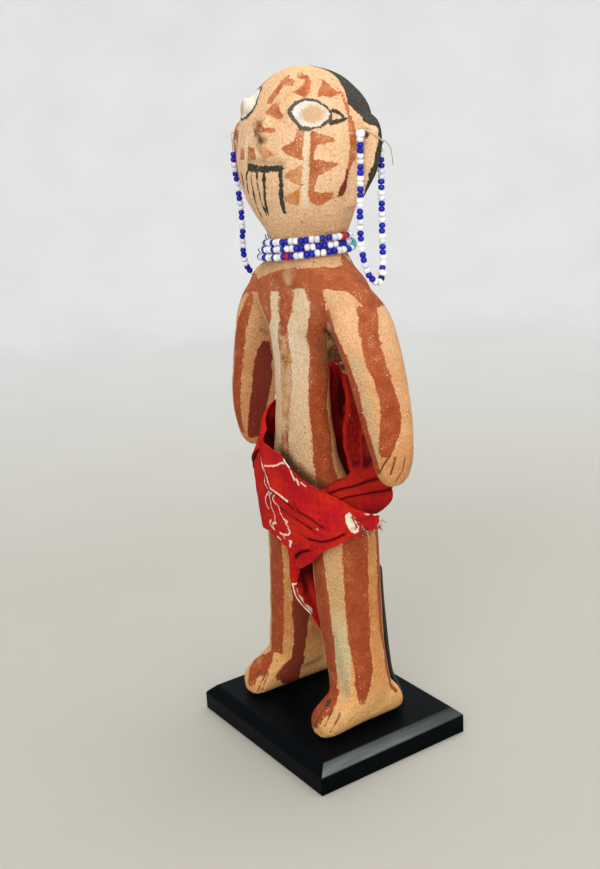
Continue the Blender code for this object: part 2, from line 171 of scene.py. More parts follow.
# Points round an oval, rows and columns of a ball, points round a tube, steps between rows.
OVAL_POINTS = 72
BALL_GRID = (24, 36)
TUBE_SIDES = 20
STEPS_BETWEEN = 8


def rows_between(rows, steps):
    """Catmull-Rom curve through the rows, with this many steps from row to row."""
    rows = np.asarray(rows, dtype=float)
    padded = np.vstack((rows[0], rows, rows[-1]))
    place = np.linspace(0.0, len(rows) - 1.0, steps * (len(rows) - 1) + 1)
    first = np.minimum(place.astype(int), len(rows) - 2)
    part = (place - first)[:, None]
    before, start, end, after = (padded[first + k] for k in range(4))
    return 0.5 * (
        2.0 * start
        + (end - before) * part
        + (2.0 * before - 5.0 * start + 4.0 * end - after) * part ** 2
        + (3.0 * start - before - 3.0 * end + after) * part ** 3
    )


def columns_at(rows, heights):
    """Every column of a loft at the heights, read off its smooth curve."""
    fine = rows_between(rows, 20)
    fine = fine[np.argsort(fine[:, 0])]
    return [np.interp(heights, fine[:, 0], fine[:, k]) for k in range(1, fine.shape[1])]


def full_turn(count):
    """Angles of this many equal steps round a circle."""
    return np.linspace(0.0, 2.0 * math.pi, count, endpoint=False)


def unit(vectors):
    """Each vector divided by its length."""
    return vectors / np.linalg.norm(vectors, axis=1)[:, None]


def rings(first, second, count):
    """Circles of radius 1: cos(angle) times the first direction and sin(angle) times the second."""
    angle = full_turn(count)[:, None]
    return np.cos(angle) * first[:, None] + np.sin(angle) * second[:, None]


def grid_points(x, y, z):
    """Grid of points from three grids of numbers that may need repeating along a side."""
    return np.stack(np.broadcast_arrays(x, y, z), axis=-1)


def rise(value, width):
    """0 below zero, 1 from the width on, and a straight rise between them."""
    return np.clip(value / width, 0.0, 1.0)


def bell(value, width):
    """Bell curve: 1 at zero, e to the minus square of the value over the width elsewhere."""
    return np.exp(-(value / width) ** 2)


def oval(power):
    """Closed curve |a|^power + |b|^power = 1 as two rows of numbers, one for each side."""
    turn = full_turn(OVAL_POINTS)
    power = np.reshape(power, (-1, 1))
    return tuple(
        np.sign(wave) * np.abs(wave) ** (2.0 / power) for wave in (np.cos(turn), np.sin(turn))
    )


def turned(points, degrees):
    """Points turned about the upright axis through the origin."""
    angle = math.radians(degrees)
    x, y = points[..., 0], points[..., 1]
    cosine, sine = math.cos(angle), math.sin(angle)
    return np.stack((x * cosine - y * sine, x * sine + y * cosine, points[..., 2]), axis=-1)


def column_form(rows):
    """Grid of points: at each height an oval about the upright middle plane."""
    fine = rows_between(rows, STEPS_BETWEEN)
    height, middle, width, depth, power = (fine[:, k, None] for k in range(5))
    across, along = oval(power)
    return grid_points(width * across, middle + depth * along, height)


def limb_form(rows, side, power, lift=0.0):
    """Grid of points: at each height an oval about the limb's middle, raised towards its end."""
    fine = rows_between(rows, STEPS_BETWEEN)
    height, middle_x, middle_y, width, depth = (fine[:, k, None] for k in range(5))
    across, along = oval(power)
    drop = np.maximum(0.0, (LIFT_BELOW - height) / (LIFT_BELOW - rows[-1][0]))
    return grid_points(
        side * (middle_x + width * across), middle_y + depth * along, height + lift * drop,
    )


def foot_form(side):
    """Grid of points: upright ovals from the heel to the toes, cut off flat at the sole."""
    fine = rows_between(FOOT, STEPS_BETWEEN)
    place, middle, width, height = (fine[:, k, None] for k in range(4))
    across, upward = oval(FOOT_POWER)
    level = np.maximum(SOLE + height / 2.0 * (1.0 + 1.04 * upward), SOLE)
    shift = RIGHT_FOOT_SHIFT if side < 0 else 0.0
    return grid_points(side * (middle + width * across), place + shift, level)


def ball_form(centre, radii, turn=0.0, tilt=0.0):
    """Grid of points: a ball stretched to the radii, tilted about Y and turned about Z."""
    rows, columns = BALL_GRID
    polar = np.linspace(0.05, math.pi - 0.05, rows)[:, None]
    spin = full_turn(columns)
    points = grid_points(
        np.sin(polar) * np.cos(spin), np.sin(polar) * np.sin(spin), np.cos(polar),
    ) * np.asarray(radii)
    lean = math.radians(tilt)
    x, y, z = points[..., 0], points[..., 1], points[..., 2]
    tilted = np.stack((
        x * math.cos(lean) + z * math.sin(lean), y, z * math.cos(lean) - x * math.sin(lean),
    ), axis=-1)
    return turned(tilted, turn) + np.asarray(centre)


def eye_form(side):
    """A low lens half sunk into the face, facing straight out of the head's oval."""
    middle, width, depth, _ = (float(value) for value in columns_at(HEAD, EYE_HEIGHT))
    turn, rise, tilt, size = (EYE_PLACE, 0.0, EYE_TILT, 1.0) if side > 0 else RIGHT_LENS
    angle = math.radians(side * turn + FACE_TURN)
    outward = np.array((math.sin(angle) / width, -math.cos(angle) / depth))
    outward /= np.linalg.norm(outward)
    place = (
        width * math.sin(angle) - EYE_SINK * outward[0],
        middle - depth * math.cos(angle) - EYE_SINK * outward[1],
        EYE_HEIGHT + rise,
    )
    facing = math.degrees(math.atan2(outward[0], -outward[1]))
    return ball_form(place, [size * radius for radius in EYE_RADII], facing, side * tilt)


def body_forms():
    """Every form of the clay body, as grids of points."""
    forms = [column_form(TRUNK)]
    head = [column_form(HEAD), ball_form(NOSE_CENTRE, NOSE_RADII)]
    for side in (-1, 1):
        forms.append(limb_form(ARM, side, ARM_POWER, LEFT_HAND_LIFT if side > 0 else 0.0))
        forms.append(limb_form(LEG, side, LEG_POWER))
        forms.append(foot_form(side))
        forms.append(ball_form((side * WEB_CENTRE[0],) + WEB_CENTRE[1:], WEB_RADII))
        head.append(limb_form(EAR, side, 2.0))
        head.append(eye_form(side))
    return forms + [turned(form, HEAD_TURN) for form in head]


# ---------------------------------------------------------------------------
# Meshes
# ---------------------------------------------------------------------------

def tube_faces(rows, columns, ends=True, closed=True):
    """Quads between the rows of a grid that closes round its columns, and its two end faces."""
    col = np.arange(columns if closed else columns - 1)
    low = np.arange(rows - 1)[:, None] * columns + col
    right = np.arange(rows - 1)[:, None] * columns + (col + 1) % columns
    quads = np.stack((low, right, right + columns, low + columns), axis=-1).reshape(-1, 4)
    faces = quads.tolist()
    if ends:
        faces.append(list(range(columns))[::-1])
        faces.append(list(range((rows - 1) * columns, rows * columns)))
    return faces


def placed(name, data):
    """A new object in the scene that holds the data."""
    item = bpy.data.objects.new(name, data)
    bpy.context.scene.collection.objects.link(item)
    return item


def repeated(faces, count, step):
    """The faces of one small form for many that follow each other, this many points apart."""
    return [[first + corner for corner in face]
            for first in range(0, count * step, step) for face in faces]


def mesh_piece(name, points, faces, recalculate=False):
    """A smooth-shaded object at the origin from millimetre points."""
    mesh = bpy.data.meshes.new(name)
    mesh.from_pydata((np.asarray(points).reshape(-1, 3) * MM).tolist(), [], faces)
    if recalculate:
        work = bmesh.new()
        work.from_mesh(mesh)
        bmesh.ops.recalc_face_normals(work, faces=work.faces)
        work.to_mesh(mesh)
        work.free()
    mesh.shade_smooth()
    return placed(name, mesh)


def joined_grids(name, grids):
    """One object from several closed grids."""
    points, faces, first = [], [], 0
    for grid in grids:
        rows, columns = grid.shape[:2]
        faces.extend([first + corner for corner in face] for face in tube_faces(rows, columns))
        points.append(grid.reshape(-1, 3))
        first += rows * columns
    return mesh_piece(name, np.concatenate(points), faces, recalculate=True)


def settle(item):
    """Apply the object's modifiers to its mesh."""
    graph = bpy.context.evaluated_depsgraph_get()
    mesh = bpy.data.meshes.new_from_object(item.evaluated_get(graph))
    old = item.data
    item.modifiers.clear()
    item.data = mesh
    mesh.name = item.name
    bpy.data.meshes.remove(old)


def read_points(mesh):
    """The mesh's points and their normals, in millimetres."""
    points = np.zeros(len(mesh.vertices) * 3)
    normals = np.zeros(len(mesh.vertices) * 3)
    mesh.vertices.foreach_get("co", points)
    mesh.vertices.foreach_get("normal", normals)
    return points.reshape(-1, 3) / MM, normals.reshape(-1, 3)


def write_points(mesh, points):
    """Put millimetre points into the mesh."""
    mesh.vertices.foreach_set("co", (points * MM).ravel())
    mesh.update()


def write_field(mesh, name, values):
    """Store one number for each point of the mesh."""
    field = mesh.attributes.new(name, "FLOAT", "POINT")
    field.data.foreach_set("value", np.asarray(values, dtype=np.float32))


def write_tint(mesh, name, colours):
    """Store one colour for each point of the mesh."""
    field = mesh.attributes.new(name, "FLOAT_COLOR", "POINT")
    solid = np.column_stack((colours, np.ones(len(colours))))
    field.data.foreach_set("color", solid.astype(np.float32).ravel())


def refine(mesh, chosen):
    """Cut the quads whose corners are all chosen into four."""
    work = bmesh.new()
    work.from_mesh(mesh)
    faces = [face for face in work.faces if all(chosen[v.index] for v in face.verts)]
    edges = {edge for face in faces for edge in face.edges}
    bmesh.ops.subdivide_edges(work, edges=list(edges), cuts=1, use_grid_fill=True)
    work.to_mesh(mesh)
    work.free()
    mesh.shade_smooth()


def unevenness(points, wave, seed):
    """Smooth wandering value between about -1 and 1: a sum of sines in random directions."""
    chance = np.random.default_rng(seed)
    total = np.zeros(len(points))
    for _ in range(9):
        direction = chance.normal(size=3)
        direction *= 2.0 * math.pi / (wave * np.linalg.norm(direction))
        total += np.sin(points @ direction * chance.uniform(0.7, 1.4) + chance.uniform(0.0, 6.3))
    return total / 4.0


# ---------------------------------------------------------------------------
# Distances on a flat chart
# ---------------------------------------------------------------------------

def segment_gap(u, v, start, end):
    """Share of the way along a segment to the nearest place on it, and the distance to it."""
    du, dv = end[0] - start[0], end[1] - start[1]
    left, up = u - start[0], v - start[1]
    share = np.clip((left * du + up * dv) / (du * du + dv * dv + TINY), 0.0, 1.0)
    return share, np.hypot(left - share * du, up - share * dv)


def outline_distance(u, v, corners):
    """Distance to a closed outline, less than zero inside it."""
    corners = np.asarray(corners, dtype=float)
    nearest = np.full(np.shape(u), np.inf)
    inside = np.zeros(np.shape(u), dtype=bool)
    for start, end in zip(corners, np.roll(corners, -1, axis=0)):
        nearest = np.minimum(nearest, segment_gap(u, v, start, end)[1])
        du, dv = end - start
        crosses = (start[1] > v) != (end[1] > v)
        inside ^= crosses & (u < start[0] + (v - start[1]) * du / (dv or TINY))
    return np.where(inside, -nearest, nearest)


def line_distance(u, v, stations):
    """Distance to a line of stations (u, v, half width), less than zero within its width."""
    stations = np.asarray(stations, dtype=float)
    best = np.full(np.shape(u), np.inf)
    for start, end in zip(stations[:-1], stations[1:]):
        share, gap = segment_gap(u, v, start, end)
        best = np.minimum(best, gap - (start[2] + (end[2] - start[2]) * share))
    return best


def route_distance(points, route):
    """Distance in space from each point to a line through a few places."""
    best = np.full(len(points), np.inf)
    route = np.asarray(route, dtype=float)
    for first, last in zip(route[:-1], route[1:]):
        way = last - first
        along = np.clip((points - first) @ way / (way @ way), 0.0, 1.0)
        gap = np.linalg.norm(points - first - along[:, None] * way, axis=1)
        best = np.minimum(best, gap)
    return best


def stripe_distance(angle, height, rows, radius):
    """Distance to an upright stripe: rows hold height and the two edges' angles in degrees."""
    rows = np.asarray(sorted(rows), dtype=float)
    first = np.interp(height, rows[:, 0], rows[:, 1])
    last = np.interp(height, rows[:, 0], rows[:, 2])
    beside = np.maximum(first - angle, angle - last) * math.pi / 180.0 * radius
    beyond = np.maximum(rows[0, 0] - height, height - rows[-1, 0])
    return np.maximum(beside, beyond)


# ---------------------------------------------------------------------------
# Painted marks on the clay
# ---------------------------------------------------------------------------

# Face chart: millimetres round the head from the painted face's middle, towards
# the left side, and height.
FACE_RADIUS = 24.0
FACE_RED = (
    # Forehead: a barbed stroke, a hooked blob and a fan beside the hair.
    ((4.5, 244), (0.5, 241.8), (-1.3, 238), (-2.4, 234.8), (0.3, 234.3), (2.3, 237.5),
     (3.7, 240.6), (8.5, 240), (8.8, 241.4), (5, 242.4)),
    ((10, 243.9), (18, 243.4), (18.3, 241), (16.4, 237.5), (15, 235.8), (8.4, 238),
     (13.6, 239.8), (15, 241.6), (11, 242.2)),
    ((26, 242), (21.5, 238.5), (19.3, 235.7), (23, 236.2), (26, 235.5), (33, 236.9),
     (28.5, 238.2)),
    # Beside the left eye and beside the nose.
    ((1.4, 234.4), (3.9, 234.4), (7.6, 230.4), (5.7, 229.5), (2, 231), (-1.5, 231.6)),
    ((-4.6, 229.3), (-1.3, 229), (1, 228), (4.7, 226.4), (4.2, 225.6), (-1.3, 225.6),
     (-3.9, 227)),
    # Left cheek: a point towards the nose, and a band with three points to the ear.
    ((13, 226.2), (15, 226), (15, 216.8), (13.4, 217), (8, 219.6), (8.2, 221),
     (12, 223)),
    ((17.2, 226), (19.3, 225.8), (19.4, 225), (25.8, 223), (25.6, 222.2), (19.5, 221),
     (19, 217), (19.8, 216.8), (27.2, 215.4), (27, 214.6), (20.6, 211.6), (20, 208),
     (20.3, 206.6), (28.4, 206), (28.6, 203.8), (22, 201.6), (18.8, 203.6), (18, 207),
     (17.2, 215)),
    # Beside the upper lip, and on the right cheek.
    ((-6.9, 221.2), (-3.6, 220.8), (-2.6, 216.8), (-6.7, 216.6)),
    ((-12.5, 220.7), (-9.3, 219.8), (-9.2, 216.5), (-13, 216.4)),
    ((-14.5, 213), (-11.6, 211.1), (-13, 207.5), (-15, 206.5)),
)
FACE_RUST = (
    ((-0.5, 218.4), (0.1, 221.2), (3, 220), (5.9, 218.6), (1.3, 217.1)),
    ((15, 215), (15, 208.5), (13, 209), (9, 211.4), (9.2, 212.6), (13.5, 214.6)),
    ((15, 208.5), (15, 201.8), (12, 202.5), (8.4, 203.6), (8.6, 205), (13.5, 207.2)),
)
# Lines: stations of place, height and half width.
EAR_LINE = ((31, 239.5, 0.5), (32, 235, 0.9), (32.6, 229, 1.1), (33.2, 222, 1.5),
            (33, 217, 1.4), (31.8, 213, 0.9))
EAR_DROP = ((31.8, 213, 0.6), (32, 209.5, 0.8), (32.1, 206, 1.6))
CHEEK_LINE = ((16.1, 226, 1), (16.1, 216.7, 0.9), (16.9, 203, 1), (17.2, 201.5, 0.8))
LIP_LINE = ((-2.4, 221.5, 0.7), (-1.8, 216.4, 0.7))
NOSE_LINE = ((-8.6, 224, 0.7), (-8.4, 216.6, 0.8))
EYE_OUTLINE = ((9.1, 232.2), (11.5, 234.5), (15, 235.5), (18.8, 235.1), (22.3, 233),
               (24.6, 230.8), (24, 229), (21, 226.9), (17.5, 226.1), (14, 226.9),
               (10.8, 229.6))
EYE_PUPIL = ((13.4, 231.6), (16.1, 233.7), (19.2, 233.9), (22.4, 231.9), (21.2, 228.9),
             (17.8, 227.8), (14.6, 229.1))
RIGHT_EYE_OUTLINE = ((8.1, 234.5), (9, 236), (10.4, 237.4), (11.6, 238.8), (14.5, 239.8),
                     (18.5, 239.4), (22.3, 237), (24.8, 233.6), (24, 231.4), (21, 229.8),
                     (16.5, 229.4), (11.8, 230.3), (8.6, 232.3))
EYE_TAILS = (
    ((24.9, 231.6, 0.6), (27.4, 231.2, 0.6), (29.6, 229.7, 0.5)),
    ((24.4, 227.9, 0.4), (27.7, 228.2, 0.5), (31.4, 229.2, 0.4)),
)
RIGHT_EYE_RISE = 2.4
MOUTH_BAR = ((-8.1, 215.3), (-5.4, 215.7), (0.3, 215), (5.6, 215.3), (7.9, 215.2),
             (8.6, 213.9), (6, 213.1), (-0.7, 212.7), (-8.7, 212.7))
CHIN_LINES = (
    ((-8.4, 212.8, 0.40), (-10, 206.5, 0.35), (-12.5, 199.5, 0.35)),
    ((-5.6, 212.9, 0.45), (-6.3, 206.7, 0.40), (-8.5, 197.5, 0.40)),
    ((-2.5, 213, 0.45), (-2.9, 206, 0.45), (-3.8, 198, 0.45)),
    ((1.1, 213.1, 0.60), (0, 205.5, 0.55), (-2.4, 198.4, 0.65)),
    ((7.5, 214.3, 0.70), (7.6, 207.1, 0.75), (7, 200, 1.05)),
)
NOSTRIL = ((-0.4, 224.2, 0.7), (0.3, 223.2, 1.1), (0.8, 222.6, 0.6))
NOSE_MARKS = (
    ((0.1, 229.4, 0.6), (0.4, 228.2, 0.9)),
    ((-4.4, 226.4, 0.3), (-3.6, 224.8, 0.6)),
)
# Brown marks along the nose and along the top of the mouth.
NOSE_BROWN = ((-5, 228.5, 1.2), (-1.5, 226.6, 2.4), (0, 223.6, 2.2), (-1.5, 221.5, 0.8))
MOUTH_BROWN = ((-6.5, 216.2, 0.8), (1, 216.4, 1), (8.5, 215.8, 0.8))
# Where the black hair begins: height, place round the head.
HAIR_EDGE = ((198, 47), (203, 42), (208, 39.6), (212.5, 38.4), (219, 39),
             (225.5, 39.7), (226.8, 37), (228, 35.9), (230, 36.4), (231.7, 34.9),
             (233.6, 33), (236.7, 34.3), (239.5, 35.6), (242, 37.8), (244, 40),
             (246.5, 40.5))
HAIR_END = 201.0

# Upright stripes: height, first angle, last angle, in degrees from the front
# towards the outer side of each limb, and towards the left side on the trunk.
TRUNK_RED = (
    ((174, -4, 9), (162, 0, 16), (151, -6, 22), (140, -12, 18),
     (129, -13, 12), (117, -14, 6), (96, -12, 2)),
    ((176, 22, 40), (171, 25, 41), (164, 37, 60), (160, 44, 79),
     (153, 59, 98), (142, 55, 115), (131, 52, 101), (120, 53, 102),
     (110, 48, 92), (98, 44, 84)),
    ((172, -32, -14), (167, -33, -12), (163, -34, -13), (160.5, -32, -18),
     (159, -28, -23)),
    ((151, -100, -60), (147, -105, -56), (131, -102, -53), (98, -90, -49)),
)
# How far the middle stripe is worn away: height, share.
CENTRE_WEAR = ((100, 0.15), (112, 0.35), (122, 0.55), (130, 0.75), (140, 0.78),
               (148, 0.62), (156, 0.42), (162, 0.20), (168, 0.08))
CENTRE_OCHRE = (
    ((160, -1, 20), (150, -8, 23), (140, -13, 21), (131, -15, 14),
     (126, -13, 5)),
)
TRUNK_BACK_RED = (
    ((174, 172, 190), (150, 166, 194), (98, 170, 190)),
    ((172, 142, 156), (150, 128, 146), (98, 130, 148)),
    ((172, 204, 218), (150, 214, 232), (98, 212, 230)),
)
NECK_SIDE_RED = (
    ((184.6, 98, 103), (182.5, 91, 112), (180, 84, 125)),
)
TRUNK_CREAM = (
    ((174, -14, 25), (164, -14, 37), (157, -30, 56), (150, -52, 58),
     (131, -52, 52), (108, -48, 50)),
)
ARM_RED = (
    ((171, 66, 116), (168, 62, 106), (162, 55, 92), (156, 50, 86),
     (150, 48, 85), (144, 51, 89), (138, 57, 94), (133, 50, 96),
     (127, 40, 90), (122, 31, 74), (119, 27, 60), (117.4, 30, 46)),
    ((168, -28, -5), (163, -28, -2), (157, -28, 10), (151, -28, 12),
     (139, -27, 9), (124, -24, 11), (110, -20, 8)),
)
ARM_BACK_RED = (
    ((170, 150, 186), (140, 148, 190), (113, 158, 184)),
)
# Darker red on the inner side of each arm: partly paint, partly painted shade.
ARM_DARK = (
    ((148.6, -78, -70), (147, -88, -64), (145, -93, -60), (141, -98, -57),
     (135, -105, -55), (128, -107, -56), (120, -102, -50),
     (113, -95, -40), (108, -82, -30)),
)
# Red where each arm meets the chest, on both sides and on the left side alone.
ARMPIT_RED = (
    ((170, -72, -40), (167, -75, -51), (163, -80, -59), (160, -80, -64),
     (158.8, -76, -68)),
)
LEFT_ARMPIT_RED = (
    ((168, -75, -5), (165, -72, -3), (162, -66, 1), (159, -60, 7),
     (156.5, -55, 6), (154, -28, 6)),
)
# Greenish stain on the left arm, and streaks of it down the left leg's front.
ARM_GREEN = (
    ((155, 18, 36), (151, 15, 42), (146, 14, 36), (142, 14, 30),
     (137, 14, 40), (128, 12, 34), (116, 8, 18)),
)
LEG_GREEN = ((23, 52, 0.6), (24, 46, 1.3), (24, 38, 1.6), (27, 33, 1.5),
             (31, 28, 1.2), (31, 24, 0.8))
LEG_RED = (
    ((100, -20, 13), (79, -20, 13), (71, -21, 15), (61, -22, 18),
     (46, -22, 18), (38, -24, 13), (31, -26, 12), (26, -30, 7)),
    ((100, 50, 95), (81, 49, 95), (62, 48, 93), (53, 48, 92),
     (45, 47, 88), (39, 51, 88), (35, 52, 89), (30, 48, 83),
     (26, 53, 76), (21.5, 60, 66)),
    ((100, 117, 133), (74, 119, 133), (47, 118, 132), (39, 124, 136),
     (31, 126, 140), (25, 129, 141), (20, 133, 138)),
)
LEG_BACK_RED = (
    ((100, 168, 196), (40, 168, 196), (17, 176, 186)),
)
# Darker red on the inner side of each leg: partly paint, partly painted shade.
LEG_DARK = (
    ((100, -75, -38), (68, -75, -38), (51, -74, -39), (44, -75, -42),
     (37, -75, -48), (29, -74, -50), (24.3, -74, -48), (21.9, -73, -35),
     (18.3, -68, -32), (14.4, -62, -33), (11, -58, -38)),
)
LEG_CREAM = (
    ((100, 13, 50), (79, 13, 49), (61, 17, 48), (46, 17, 47),
     (36, 14, 46), (29, 16, 42), (23, 22, 36)),
)
# The red yoke across the shoulders: place in X, lower and upper edge on the chest.
YOKE = ((-36, 160, 178), (-27, 168, 175.5), (-19, 169.3, 174.2), (-11, 170.7, 176.5),
        (2, 172.2, 180), (13.6, 174.7, 180.9), (19.3, 174.7, 181.2), (28.5, 174, 183),
        (31.4, 172.7, 183), (36, 166, 183))
NECK_RUN = ((1.4, 181.5, 0.5), (1.2, 178.4, 0.8), (1.4, 175.2, 0.5))
# Painted shade along the right armpit's slit: angle round the arm and height.
FAR_ARMPIT_SHADE = ((-62, 153.6), (-69, 152.6), (-76, 151.6))
# Painted shadow on the trunk along the cloth's top edge: angle round the trunk, height, half width.
CLOTH_EDGE_SHADOW = ((-15, 113.6, 1.2), (3, 112, 1.9), (10, 109.9, 2.4), (20, 107.8, 2.8),
              (28, 106, 3), (37, 104.7, 2.9), (47, 104, 2.4), (60, 103.8, 1.4))
# Tops of the feet: distance from the middle, place in Y.
LEFT_FOOT_RED = ((15, -9), (22, -11), (24.2, -14.5), (25, -18.5), (23.6, -21),
                 (18, -23), (15.5, -19.5), (14, -12))
RIGHT_FOOT_RED = ((26, -16), (24.2, -13.4), (20.3, -10.2), (17.6, -12.6), (16.4, -15.8),
                  (16.3, -18.3), (18.7, -21.2), (22, -22.4), (24.6, -19.2))
FOOT_GREEN = ((26, -19.6), (25.6, -17.6), (26.6, -15.2), (28.3, -16), (28, -18.6))
FOOT_SPOT = ((20.9, -15.4, 1), (21.3, -16.3, 1))
# Cuts between the fingers, in the arm's chart, and between the toes, as points in space.
FINGER_CUTS = (
    ((54, 117.9), (37, 115.4), (20, 113.2), (5, 111)),
    ((67, 117), (59, 113.9), (45, 110)),
    ((97, 116), (89, 111.5), (64, 106.6)),
    ((140, 111), (131, 108.4), (106, 106.8)),
)
TOE_CUTS = (
    ((20.8, -17.8, 21.1), (21.3, -20.6, 18.4), (20.3, -21.8, 15.2), (18.4, -21.4, 12.3)),
    ((24.6, -17, 21.4), (25.3, -19.1, 19.4), (25.4, -20.7, 16.9), (23.3, -21.5, 12.8)),
    ((27.3, -15.3, 20.7), (28, -16.4, 19.3), (28.1, -17.8, 17.8), (27.4, -19.8, 14.3)),
    ((23.6, -21.6, 12.6), (27.3, -18.4, 12.7), (30.2, -14.2, 12.6)),
    ((-22, -18.9, 21.5), (-22.5, -22.2, 18.5), (-21.4, -23.4, 14)),
    ((-19, -19.8, 20.7), (-18.9, -21.4, 19.2)),
    ((-16.5, -18, 20.6), (-16, -20.5, 18.3), (-16.6, -22.3, 14.7), (-17.1, -22.6, 12.6)),
    ((-15.7, -17.9, 19.8), (-15.3, -20, 17), (-16.1, -21.1, 12.9)),
)
# Painted shade in the armpit webs and its darkest part: middle on the left side, and radii.
WEB_SHADE = ((14.6, -1.8, 151), (5.8, 5.4, 9.5))
WEB_DEPTH = ((15.6, 0, 149), (4.4, 3.4, 5.6))
# The left armpit's slit: a groove in the clay, with painted shade along it.
ARMPIT_SLIT = ((17.6, -6.5, 159.9), (16, -3.8, 157.8), (14.1, -1.2, 155.7), (15.2, -0.5, 152.2),
               (16.9, -0.3, 148.9))
# Radii that turn degrees round a form into millimetres, and millimetres to a degree.
LIMB_RADIUS = 8.0
LEG_RADIUS = 11.0
TRUNK_RADIUS = 11.0
HAND_RADIUS = 6.0
ARM_DEGREE = 0.14
TRUNK_DEGREE = 0.19
# Distance given to a point that a mark can't reach.
FAR = 9.0
# Heights where the charts of the head and the arms begin, and where the legs' ends.
HEAD_FROM = 188.0
ARM_FROM = 98.0
LEG_TO = 88.0


def chart_angle(x, y, middle_x, middle_y, width, depth):
    """Degrees round an oval from its front, towards +X."""
    return np.degrees(np.arctan2((x - middle_x) / width, (middle_y - y) / depth))


class Charts:
    """Where each point of the body lies: its form, and its place on that form's chart."""

    def __init__(self, points):
        x, y, z = points.T
        side = np.where(x < 0.0, -1.0, 1.0)
        self.points, self.side, self.x, self.y, self.z = points, side, x, y, z
        own = turned(points, -HEAD_TURN)
        middle, width, depth, _ = columns_at(HEAD, z)
        head = chart_angle(own[:, 0], own[:, 1], 0.0, middle, width, depth) - FACE_TURN
        self.face = np.radians(head) * FACE_RADIUS

        middle, width, depth, _ = columns_at(TRUNK, z)
        self.trunk = chart_angle(x, y, 0.0, middle, width, depth)
        trunk_out = np.hypot(x / width, (y - middle) / depth)

        lift = np.where(side > 0, LEFT_HAND_LIFT, 0.0) / (LIFT_BELOW - ARM[-1][0])
        self.arm_z = np.where(z < LIFT_BELOW, (z - LIFT_BELOW * lift) / (1.0 - lift), z)
        middle_x, middle_y, width, depth = columns_at(ARM, self.arm_z)
        self.arm = chart_angle(side * x, y, middle_x, middle_y, width, depth)
        arm_out = np.hypot((side * x - middle_x) / width, (y - middle_y) / depth)
        arm_out[(self.arm_z < 100.0) | (z > 172.0)] = FAR

        middle_x, middle_y, width, depth = columns_at(LEG, z)
        self.leg = chart_angle(side * x, y, middle_x, middle_y, width, depth)
        self.foot_x = side * x
        self.foot_y = y - np.where(side < 0, RIGHT_FOOT_SHIFT, 0.0)

        self.is_head = z > HEAD_FROM
        self.is_arm = (arm_out < trunk_out) & (z > ARM_FROM) & ~self.is_head
        self.is_trunk = ~self.is_arm & (z > LEG_TO) & ~self.is_head
        self.is_leg = z <= LEG_TO


def stripes(angle, height, rows_of_all, radius):
    """Nearest distance to any of several stripes."""
    return np.min([stripe_distance(angle, height, rows, radius) for rows in rows_of_all], axis=0)


def yoke_distance(chart):
    """Distance to the yoke: a band over the chest and the back that covers the shoulders."""
    place, low, high = np.array(YOKE).T
    low = np.interp(chart.x, place, low)
    high = np.interp(chart.x, place, high)
    behind = rise(chart.y + 3.0, 4.0)
    low += behind * (168.0 - low)
    high += behind * (183.5 - 0.1 * np.abs(chart.x) - high)
    return np.maximum(low - chart.z, chart.z - high)


PAINTS = ("red", "dark", "cream", "rust", "black", "eye", "pupil", "smudge", "soil", "green",
          "pale", "under")


def ball_gap(x, y, z, centre, radii):
    """Rough distance to an ellipsoid: its unevenly scaled radius less 1, times 4 mm."""
    scaled = [((value - middle) / radius) ** 2
              for value, middle, radius in zip((x, y, z), centre, radii)]
    return 4.0 * (np.sqrt(scaled[0] + scaled[1] + scaled[2]) - 1.0)


